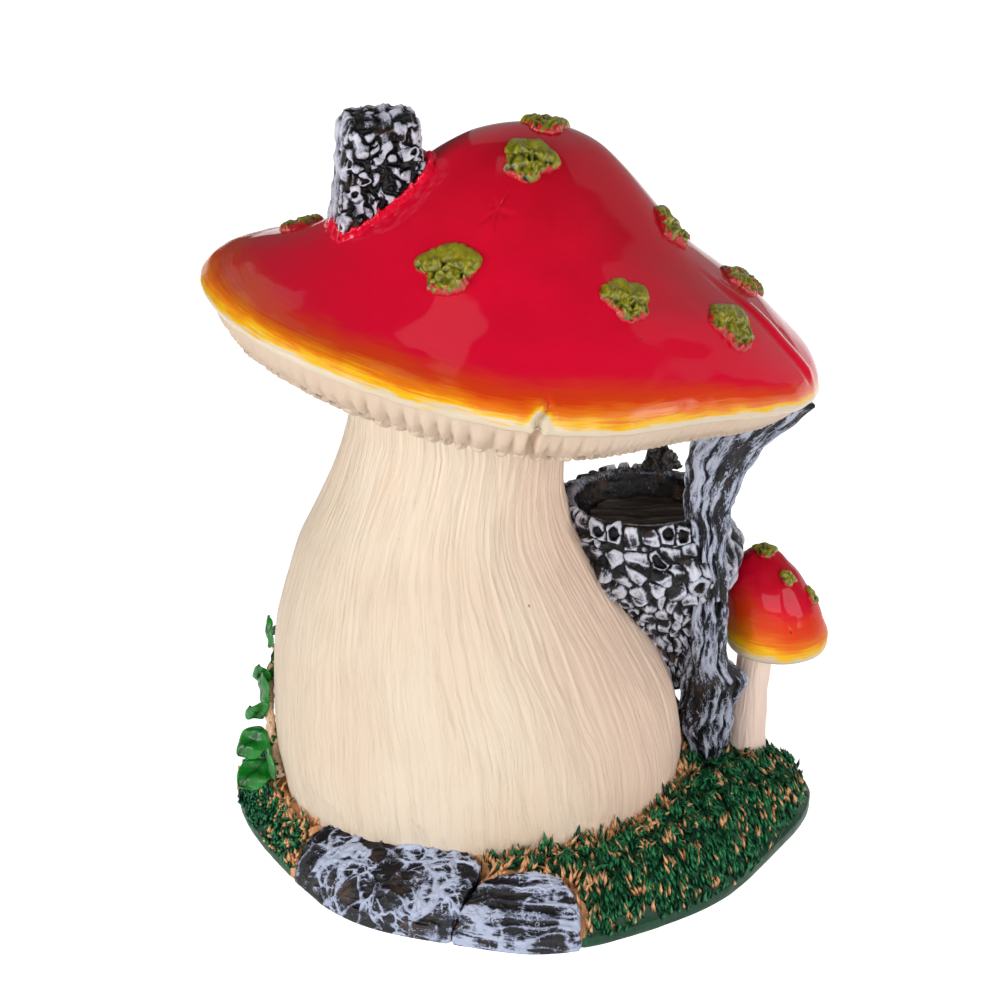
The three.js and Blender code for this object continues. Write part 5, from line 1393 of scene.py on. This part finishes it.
def mossPatch(radius, height, place, seed, columns=150, rows=52):
    angles = turns(columns)
    share = np.concatenate([[0.05, 0.6, 0.95], np.linspace(1.0, 0.03, rows)])[:, None]
    wander = 1 + 0.1 * np.sin(3 * angles + seed) + 0.06 * np.sin(5 * angles + 2 * seed)
    ring = circle(radius, angles, seed * 9.0)
    wander = wander + 0.08 * noise(ring, radius * 0.42, 91) + 0.06 * noise(ring, radius * 0.2, 92) - 0.03
    u, v = share * radius * wander * np.cos(angles), share * radius * wander * np.sin(angles)
    spot = stack(u, v, seed * 9.0)
    scale = radius / mossLook["radius"]
    small = 0.4 + 0.6 * scale
    # the upper part is smooth, the lower part is beads and short winding strands
    lower = smoothStep(0.55 * radius, -0.3 * radius, v) * 0.75 + 0.25
    bent = warped(spot, 2.4 * scale, 0.8 * scale, 93)
    bead = 0.5 - cells(bent, np.array([1.2, 1.5, 9]) * small, 95 + seed)[0]
    strand = 0.5 - np.abs(noise(bent, np.array([1.5, 2.6, 9]) * small, 97 + seed))
    lobe = 0.28 * np.sin(5 * angles + seed) * np.sin(np.pi * np.minimum(share, 1))
    section = readCurve(mossLook["section"], share)
    detail = lower * (1.1 * bead + 1.3 * strand - 0.25) + 0.25 * noise(spot, 3.2 * scale, 96)
    lift = 0.3 - 0.5 * smoothStep(0.96, 1.0, share) + height * section * (1 + lobe)
    lift = lift + scale * 0.75 * detail * smoothStep(1.0, 0.85, share)
    lift[:3] = -0.35
    # painted highlight on the beads and strands, painted shade in the gaps between them
    relief = 0.5 + lower * (0.7 * bead + 0.9 * strand - 0.35) + 0.15 * noise(spot, 4, 98)
    hanging = smoothStep(0.3, -0.75, np.sin(angles))[None] * smoothStep(-0.1, 0.5, bead + 0.35)
    margin = smoothStep(0.6, 0.9, share) * (0.12 + 0.62 * hanging) + 0.35 * smoothStep(0.9, 1.0, share)
    return closedGrid(place(u, v, lift), {"flow": spot, "relief": relief, "fade": margin})


for index, (x, y, size) in enumerate(mossLook["places"]):
    radius, place = size * mossLook["radius"], overSurface(roofPoint, x, y)
    points, *rest = mossPatch(radius, mossLook["height"], place, index)
    addPiece(f"moss_patch_{index + 1}", (toHouse(points), *rest), "moss")
print("moss made")


# Balcony bowl with its wood lining and the broken stub

bowlLook = {"middle": (31, 1.5), "height": 90.5, "half": (21.5, 19.5), "drop": 57, "wall": 3.2, "hollow": 8.5,
            "floor": 0.78, "columns": 400, "rows": 200, "stonesRound": 30, "stoneHeight": 4.2,
            "courseHeight": 5.2,
            "fullness": [(0, 0.1), (0.14, 0.22), (0.26, 0.36), (0.39, 0.56), (0.51, 0.77), (0.63, 0.98),
                         (0.75, 1.1), (0.88, 1.02), (1, 0.98)],
            "drift": [(0, 10), (0.14, 9), (0.39, 6.5), (0.61, 4), (0.76, 3), (0.88, 1), (1, 0)],
            "stone": {"jitter": 0.75, "warp": 0.26, "bend": 4, "mortar": 0.25, "rings": 0.12, "proud": 1.5}}


def bowlShape():
    look = bowlLook
    angles = turns(look["columns"])
    level = np.linspace(0.0, 0.975, look["rows"])[:, None]
    full = readCurve(look["fullness"], level)
    shifted = (look["middle"][0] + readCurve(look["drift"], level), look["middle"][1])
    outer = circle((look["half"][0] * full, look["half"][1] * full), angles,
                   look["height"] - look["drop"] * (1 - level), shifted)
    lip, inner = [], []
    inside = [half - look["wall"] for half in look["half"]]
    for turn in np.linspace(0.1, np.pi - 0.1, 22):
        share = (1 - math.cos(turn)) / 2
        halves = tuple(o * 0.985 + (i - o * 0.985) * share for o, i in zip(look["half"], inside))
        lip.append(circle(halves, angles, look["height"] - 1.0 + math.sin(turn), look["middle"]))
    for down in np.linspace(0.1, 1, 20):
        shrink = 1 - (1 - look["floor"]) * down**2
        inner.append(circle((inside[0] * shrink, inside[1] * shrink), angles,
                            look["height"] - look["hollow"] * down - 0.5 * (1 - down), look["middle"]))
    middle = inner[-1].mean(0)
    floorRows = [middle + (inner[-1] - middle) * share for share in (0.9, 0.5, 0.05)]
    base = np.concatenate([outer, np.array(lip), np.array(inner), np.array(floorRows)])
    rows = len(base)
    outward = (np.arange(rows) < look["rows"] + 9)[:, None] * np.ones(len(angles))
    around, up = look["stonesRound"], base[..., 2] - look["height"]
    u = angles / (2 * np.pi) * around
    height, relief = masonry(base, u, up / look["stoneHeight"] + 40.5, around, look["stone"], 101)
    # the first course under the rim has the hollow stones
    ringLook = {**look["stone"], "rings": 0.7, "jitter": 0.35, "warp": 0.12}
    course = look["courseHeight"]
    ringHeight, ringRelief = masonry(base, u, 0.5 + (up + course / 2) / course, around, ringLook, 102)
    course = smoothStep(look["height"] - 5.6, look["height"] - 4.9, base[..., 2])
    height = height + (ringHeight - height) * course
    relief = relief + (ringRelief - relief) * course
    # to the right of the post the wall turns into folded bark
    bark = smoothStep(-0.75, -0.45, angles) * smoothStep(1.4, 1.0, angles)
    folds = noise(warped(base, 4, 1.0, 106), (2.0, 2.0, 7), 109)
    height = height + (1.5 * folds - height) * bark
    relief = relief + (0.3 + 0.8 * folds - relief) * bark
    shown = smoothStep(0, 0.16, np.concatenate([level[:, 0], np.ones(rows - look["rows"])]))[:, None]
    height = height * outward * shown
    lumps = 0.6 * (0.5 - cells(base, 3.0, 103)[0]) + 0.4 * noise(base, (9, 9, 1.6), 104)
    height = height + (1 - outward) * (np.arange(rows) < rows - 3)[:, None] * lumps
    atRim = smoothStep(look["height"] - 2.4, look["height"] - 0.6, base[..., 2])
    relief = np.where(outward > 0, relief, 0.10 + 0.3 * lumps + 0.25 * atRim)
    points = pushed(base, height)
    return closedGrid(points, {"flow": base, "relief": relief + 0.1 * noise(base, 10, 105)})


addPiece("balcony_wall", bowlShape(), "stone")


deckLook = {"thickness": 2.6, "plank": 5.2, "columns": 240}


def deckShape():
    look, bowl = deckLook, bowlLook
    halves = [(half - bowl["wall"]) * bowl["floor"] - 0.1 for half in bowl["half"]]
    profile = [(0.05, 0.0), (0.98, 0.0), (1.0, 0.4), (1.0, 2.0), (0.98, 2.5)]
    profile += [(share, look["thickness"]) for share in np.linspace(0.95, 0.03, 60)]
    share, level = columnsOf(profile)
    # the top dips a little towards the middle
    z = bowl["height"] - bowl["hollow"] + 0.3 + level - (level == look["thickness"]) * (1 - share)
    grid = circle((share * halves[0], share * halves[1]), turns(look["columns"]), z, bowl["middle"])
    streak = layered(grid, (14, 2.2, 3), 3, 107)
    plank = np.abs((grid[..., 1] / look["plank"] + 0.1 * noise(grid, 9, 108)) % 1 - 0.5) * look["plank"]
    groove = bell(plank / 0.5)
    grid = pushed(grid, 0.55 * streak - 0.8 * groove)
    return closedGrid(grid, {"flow": grid, "relief": 0.42 + 0.45 * streak - 0.4 * groove})


addPiece("balcony_deck", deckShape(), "darkWood")


stubLook = {"x": 37.3, "in": 1.6, "width": 4.6, "narrowing": 0.6, "flat": 0.6, "lean": 1.2, "height": 9,
            "middleHeight": 8.2}


def stubShape():
    # a broken, pointed piece with sharp shoulders
    look = stubLook
    angles = turns(120)
    profile = [(0.05, 0.0)] + [(1.0, level) for level in np.linspace(0.0, 0.95, 60)]
    share, level = columnsOf(profile + [(share, 1.0) for share in np.linspace(0.9, 0.05, 14)])
    reach = share * look["width"] * (1 - look["narrowing"] * level) * (1 + 0.2 * np.sin(2 * angles + 1))
    tall = look["height"] * (0.72 + 0.34 * bumpAt(angles, math.pi * 0.9, 0.9) - 0.12 * np.cos(3 * angles))
    z = bowlLook["height"] + 0.1 + level * (tall + (1 - share) * (look["middleHeight"] - tall))
    middleY = bowlLook["middle"][1] + bowlLook["half"][1] - look["in"]
    grid = circle((reach, look["flat"] * reach), angles, z, (look["x"] - look["lean"] * level, middleY))
    near, second, pick, _ = cells(warped(grid, 3, 0.6, 113), (2.6, 2.6, 3.4), 111)
    edge = smoothStep(0.0, 0.2, second - near)
    height = 1.6 * (pick - 0.4) * edge + 0.5 * layered(grid, (1.4, 1.4, 3), 2, 112)
    grid = pushed(grid, height * np.minimum(share * 3, 1))
    relief = 0.15 + 0.35 * pick * edge + 0.25 * bell((second - near - 0.2) / 0.1)
    return closedGrid(grid, {"flow": stack(grid[..., 2], grid[..., 0], grid[..., 1]), "relief": relief})


addPiece("balcony_stub", stubShape(), "darkWood")
print("balcony made")


# Tree post

postLook = {"x": 49, "footY": -1, "topY": -12.5, "halfDepth": 4.6, "foot": 11, "columns": 210, "rows": 420,
            "radius": 6, "knot": (-1.25, 66.5), "lobe": (-2.5, 33), "shard": (-0.1, 41),
            # level, shift aside and half width
            "spine": [(0, 1, 4.6), (0.06, 1, 5.2), (0.12, 0.2, 6.6), (0.18, 0.6, 6.3), (0.25, 1.6, 7.5),
                      (0.31, 0, 5.2), (0.38, -0.6, 4.4), (0.5, -0.6, 4.4), (0.61, -1.6, 4.2),
                      (0.67, -1.6, 4.7), (0.72, -2.2, 6), (0.78, -1.2, 6.8), (0.805, -0.4, 7.2),
                      (0.836, 0.4, 8), (0.868, 2.1, 8.5), (0.905, 4.7, 9.3), (0.954, 9, 9.8), (1, 12, 11)]}


def postShape():
    look = postLook
    angles = turns(look["columns"])
    level = np.linspace(0, 1, look["rows"])[:, None]
    spine = np.array(look["spine"])
    shift, half = readCurve(spine[:, :2], level), readCurve(spine[:, ::2], level)
    halfDepth = look["halfDepth"] * (1 + 0.3 * smoothStep(0.3, 0.1, level) + 0.5 * smoothStep(0.75, 1, level))
    middleY = look["footY"] + (look["topY"] - look["footY"]) * smoothStep(0, 0.55, level)
    top = float(rimPlaneHeight(look["x"])) - 2 * cap["roll"]
    fluted = 1 + 0.07 * np.cos(4 * angles + 6 * level)
    x = look["x"] + shift + half * fluted * np.cos(angles)
    drop = smoothStep(0.8, 1, level) * (x - look["x"]) * math.tan(cap["tilt"])
    z = look["foot"] + level * (top - look["foot"]) - drop
    base = stack(x, middleY + halfDepth * fluted * np.sin(angles), z)
    around = circle(look["radius"], angles, z)
    bent = warped(around, 9, 1.3, 121)
    thick = crests(bent, (2.0, 2.0, 11), 123, 0.3)
    thin = crests(bent, (1.2, 1.2, 6), 124, 0.26)
    groove = crests(warped(around, 6, 1.0, 127), (2.6, 2.6, 17), 126, 0.2)
    knotAway = np.hypot((angles - look["knot"][0]) * look["radius"], (z - look["knot"][1]) / 1.3)
    knot = bell((knotAway - 2.3) / 0.8) - 0.9 * bell(knotAway / 1.3)
    height = 0.55 * thick + 0.3 * thin - 0.9 * groove + 1.1 * knot + 0.6 * noise(base, 6, 125)
    lobe = bell((angles - look["lobe"][0]) / 0.5) * bell((z - look["lobe"][1]) / 5.5)
    shard = bumpAt(angles, look["shard"][0], 0.35) * bell((z - look["shard"][1]) / 3.2)
    height = height + 0.8 * lobe + 1.2 * shard
    points = pushed(base, height)
    broad = noise(base, (6, 6, 12), 128)
    relief = 0.35 + 0.3 * thick + 0.25 * thin - 0.6 * groove + 0.25 * broad
    relief = relief + 0.4 * knot + 0.2 * shard - 0.4 * lobe
    return closedGrid(points, {"flow": around, "relief": relief})


addPiece("tree_post", postShape(), "bark")
print("post made")


# Small mushroom

smallLook = {"stem": (61.5, 5), "stemRadius": 4.6, "stemLean": 2.4, "cap": (68.2, 3), "capHeight": 46.4,
             "radius": 13.8, "rise": 28, "lean": 5, "columns": 260, "rows": 110,
             "section": [(0, 1), (0.2, 0.985), (0.42, 0.91), (0.62, 0.78), (0.8, 0.58), (0.92, 0.37),
                         (1, 0.16)],
             "under": [(0.05, 0.1), (0.4, 0.08), (0.7, 0.03), (0.9, 0.0), (0.96, 0.01), (0.985, 0.04),
                       (1.0, 0.1), (1.004, 0.14)]}


def smallStemShape():
    look = smallLook
    angles = turns(180)
    level = np.linspace(0, 1, 150)[:, None]
    foot, top = mound["crown"] - 8, look["capHeight"] + 6
    reach = look["stemRadius"] * (1 + 0.28 * (1 - level) ** 3)
    z = foot + level * (top - foot)
    base = circle(reach, angles, z, (look["stem"][0] + look["stemLean"] * level**2, look["stem"][1]))
    flow = circle(5, angles, z)
    ridge = noise(flow, (1.6, 1.6, 16), 131)
    groove = bell(ridge / 0.2)
    points = pushed(base, 0.12 * ridge - 0.1 * groove + 0.25 * noise(flow, 7, 132))
    # the relief gives painted shade in the grooves
    return closedGrid(points, {"flow": flow, "relief": 0.8 - 0.2 * groove + 0.1 * ridge})


addPiece("small_mushroom_stem", smallStemShape(), "smallStem")


def smallCapPoint(x, y):
    look = smallLook
    angle = np.arctan2(y, x)
    share = np.minimum(np.hypot(x, y) / look["radius"], 1)
    reach = share * look["radius"]
    return circle(reach, angle, readCurve(look["section"], share) * look["rise"])


def leanSmallCap(points):
    look = smallLook
    x, y, z = points[..., 0], points[..., 1], points[..., 2]
    lean = look["lean"] * smoothStep(0, look["rise"], z)
    return stack(look["cap"][0] + x - lean, look["cap"][1] + y, look["capHeight"] + z)


def smallCapShape():
    look = smallLook
    angles, under = turns(look["columns"]), look["under"]
    shares = 1 - np.linspace(0, 1, look["rows"]) ** 1.5 * 0.98
    share, level = columnsOf(under + list(zip(shares, readCurve(look["section"], shares))))
    reach = share * look["radius"]
    base = circle(reach, angles, level * look["rise"])
    along = np.concatenate([[0], np.cumsum(np.linalg.norm(np.diff(base[:, 0], axis=0), axis=-1))])
    away = (along - along[len(under)])[:, None]
    height = (0.5 * layered(base, 9, 2, 133) + 0.05 * layered(base, 4, 2, 135)) * smoothStep(-1, 3, away)
    points = pushed(base, height)
    wide = 0.72 + 0.45 * bumpAt(angles, math.radians(-135), 0.7)
    fade = np.maximum(away + 4.2, 0) / wide - 0.8 + 1.2 * noise(base, 5, 134)
    flow = circle(14, angles, away)
    return closedGrid(leanSmallCap(points), {"flow": flow, "fade": np.where(level > 0.03, fade, 0)})


addPiece("small_mushroom_cap", smallCapShape(), "redGloss", "smallRed")
for index, (x, y, size) in enumerate(mossLook["smallPlaces"]):
    radius, place = size * mossLook["smallRadius"], overSurface(smallCapPoint, x, y)
    points, *rest = mossPatch(radius, mossLook["smallHeight"], place, index, 90, 30)
    addPiece(f"small_moss_{index + 1}", (leanSmallCap(points), *rest), "moss")
print("small mushroom made")


# Ivy

ivyLook = {"radius": 1.1, "standOff": 0.9, "leafOff": 0.85, "thickness": 1.1, "curl": 0.16,
           "route": [(190, 14), (188, 20), (186, 27), (182, 34), (175, 40), (163, 46), (149, 52)],
           # each leaf: share along the vine, reach from there, width, and the way its face looks
           "leaves": [(0.14, (-7.8, -8, -3.2), 9.5, (-0.3, -0.7, 0.65)),
                      (0.33, (-7.8, -4, -5.2), 9.5, (-0.4, -0.6, 0.7)),
                      (0.26, (1.2, -9.8, -6.6), 5, (-1, -0.2, 0.1)),
                      (0.4, (-3.2, -3, 4), 7.5, (-0.3, -0.9, 0.3)),
                      (0.58, (-1.6, -1.5, 6), 5.5, (-0.4, -0.9, 0.2)),
                      (0.48, (-0.9, -3, 10), 6.5, (-0.9, -0.5, 0)), (0.06, (-8, 4, 1.5), 7, (-0.3, 0, 1)),
                      (0.76, (-2.5, 7, 6), 6, (-0.8, 0.2, 0.4)), (0.88, (-3, 6, -5.5), 6.5, (-0.7, 0.5, 0.5)),
                      (0.98, (1.5, 6, 8), 6.5, (-0.6, 0.8, 0.3))]}


def vinePoint(share, proud):
    route = np.array(ivyLook["route"], float)
    at = np.linspace(0, 1, len(route))
    azimuth, height = [readCurve(np.stack([at, part], 1), share) for part in route.T]
    return stemPoint(np.radians(azimuth), height, proud)


def vineShape():
    # a jagged, bare crust with a little green, thickest at its foot
    look = ivyLook
    share = np.linspace(0, 1, 200)
    line = vinePoint(share, seatGap + look["standOff"] * look["radius"])
    along = unit(np.gradient(line, axis=0))
    side = unit(np.cross(along, np.array([0.3, 0.2, 1.0])))
    other = np.cross(along, side)
    angles = turns(64)
    thick = look["radius"] * (1.25 - 0.45 * share)
    ring = side[:, None] * np.cos(angles)[:, None] + other[:, None] * np.sin(angles)[:, None]
    grid = line[:, None] + ring * thick[:, None, None]
    rough = 0.5 - cells(warped(grid, 2, 0.6, 141), 1.9, 144)[0]
    grid = grid + ring * (0.9 * rough + 0.35 * noise(grid, 3.2, 145))[..., None]
    bare = 0.72 - 0.5 * smoothStep(0.45, 0.7, share)[:, None] + 0.5 * noise(grid, 3, 146)
    return closedGrid(grid, {"flow": grid, "relief": 0.35 + 0.6 * rough, "fleck": bare})


def leafShape(row, seed):
    look = ivyLook
    share, reach, width, looksTo = row
    root = vinePoint(share, (look["standOff"] + 1) * look["radius"] + look["leafOff"])
    length = float(np.linalg.norm(reach))
    way = np.array(reach) / length
    across = unit(np.cross(looksTo, way))
    up = np.cross(way, across)
    s = np.linspace(0.01, 0.995, 90)[:, None]
    around = turns(72)
    side, top = np.sin(around), np.cos(around) > 0
    outline = np.maximum(np.sin(np.pi * s**0.8), 0) ** 0.7 * (1 + 0.07 * np.sin(s * 9 + seed)) + 0.02
    rib = bell(side / 0.13)
    veins = np.maximum(np.cos((s * 4.5 - np.abs(side) * 1.2) * 2 * np.pi), 0) ** 6 * (1 - rib)
    curl = look["curl"] * length
    fold = 0.25 * curl * side**2 * outline - curl * s**2
    fold = fold - 0.16 * width * np.abs(side) ** 2.2 * np.minimum(outline, 1)
    fold = fold + 0.05 * width * np.sin(s * 11 + 3 * side)
    lift = fold + np.cos(around) * look["thickness"] / 2 * (0.4 + 0.6 * outline)
    lift = lift - 0.25 * rib * top * np.minimum(4 * (1 - s), 1) + 0.08 * veins * top
    lift = lift + 0.3 * noise(stack(s * length, side * width / 2, seed * 5.0), 3.5, 142)
    local = stack(s * length, side * outline * width / 2, lift)
    grid = root + local[..., :1] * way + local[..., 1:2] * across + local[..., 2:] * up
    x, y = grid[..., 0], grid[..., 1]
    low = np.where(moundShare(x, y) < 1, turfHeight(x, y) + 1.1 + seatGap - grid[..., 2], 0)
    grid[..., 2] += max(float(low.max()), 0)
    # painted shade along the midrib groove and on the underside; paler veins and edges
    relief = 0.5 - 0.25 * rib + 0.12 * veins + 0.25 * np.abs(side) ** 3 - 0.35 * (~top)
    bare = 0.42 * smoothStep(0.16, 0.0, s) + 0.34 * np.abs(side) ** 6 * (~top) + 0.2 * noise(grid, 2.5, 143)
    return closedGrid(grid, {"flow": grid, "relief": relief, "fleck": bare})


addPiece("ivy_vine", vineShape(), "leaf")
for index, row in enumerate(ivyLook["leaves"]):
    addPiece(f"ivy_leaf_{index + 1}", leafShape(row, index + 1), "leaf")
print("ivy made")


# Stage, light and camera

studio = {"target": (-6.4, -15, 97), "camera": (-6.4, -558.8, 350.6), "lens": 85.03, "ambient": 0.08,
          "floorGlow": 0.9,
          "lamps": [("panel_behind", (0.42, 0.78, 0.68), (1.7, 1.3), 2.5),
                    ("softbox_left", (-1.05, -0.62, 0.48), (0.8, 0.4), 9.6),
                    ("softbox_front", (0.28, -1.18, 0.40), (1.25, 0.34), 7.2),
                    ("softbox_right", (1.0, -0.45, 0.40), (0.5, 0.36), 3.5),
                    ("softbox_top", (-0.10, 0.02, 1.2), (0.3, 0.22), 0.16)]}


def addStage():
    mesh = bpy.data.meshes.new("studio_floor")
    mesh.from_pydata([(-4, -4, 0), (4, -4, 0), (4, 4, 0), (-4, 4, 0)], [], [(0, 1, 2, 3)])
    tree, finishWith = newMaterial("studio floor", {"Roughness": 0.9, "Specular IOR Level": 0.0})
    where = addNode(tree, "ShaderNodeNewGeometry").outputs["Position"]
    shade = grain(tree, where, 3.0, 2)
    path = addNode(tree, "ShaderNodeLightPath").outputs
    seen = maths(tree, "MAXIMUM", maths(tree, "MAXIMUM", path["Is Camera Ray"], path["Is Glossy Ray"]),
                 path["Is Transmission Ray"])
    glow = maths(tree, "MULTIPLY", seen, studio["floorGlow"])
    white = blend(tree, shade, (0.84, 0.84, 0.84), (0.86, 0.86, 0.86))
    tree.nodes["Principled BSDF"].inputs["Emission Color"].default_value = (1, 1, 1, 1)
    mesh.materials.append(finishWith(Base_Color=white, Emission_Strength=glow))
    floor = bpy.data.objects.new("studio_floor", mesh)
    bpy.context.scene.collection.objects.link(floor)


def addSoftbox(name, place, size, power):
    light = bpy.data.lights.new(name, "AREA")
    light.shape = "RECTANGLE"
    light.size, light.size_y = size
    light.energy = power
    lamp = bpy.data.objects.new(name, light)
    lamp.location = place
    lamp.rotation_euler = (Vector((0, 0, 0.1)) - Vector(place)).to_track_quat("-Z", "Y").to_euler()
    bpy.context.scene.collection.objects.link(lamp)


def addWorld(ambient):
    # white where the camera looks past the floor, a dim warm light for everything else
    world = bpy.data.worlds.new("studio")
    world.use_nodes = True
    tree = world.node_tree
    back = tree.nodes["Background"]
    seen = addNode(tree, "ShaderNodeLightPath").outputs["Is Camera Ray"]
    tree.links.new(spread(tree, seen, 0.0, 1.0, ambient, 1.0), back.inputs["Strength"])
    tree.links.new(blend(tree, seen, (1, 0.94, 0.91), (1, 1, 1)), back.inputs["Color"])
    bpy.context.scene.world = world


addStage()
addWorld(studio["ambient"])
for name, place, size, power in studio["lamps"]:
    addSoftbox(name, place, size, power)
camera = bpy.data.objects.new("camera", bpy.data.cameras.new("camera"))
camera.data.lens = studio["lens"]
camera.data.sensor_width = 36
camera.location = [c / 1000 for c in studio["camera"]]
aim = Vector(studio["target"]) - Vector(studio["camera"])
camera.rotation_euler = aim.to_track_quat("-Z", "Y").to_euler()
bpy.context.scene.collection.objects.link(camera)
bpy.context.scene.camera = camera
bpy.context.scene.view_settings.view_transform = "Standard"

print("scene ready")
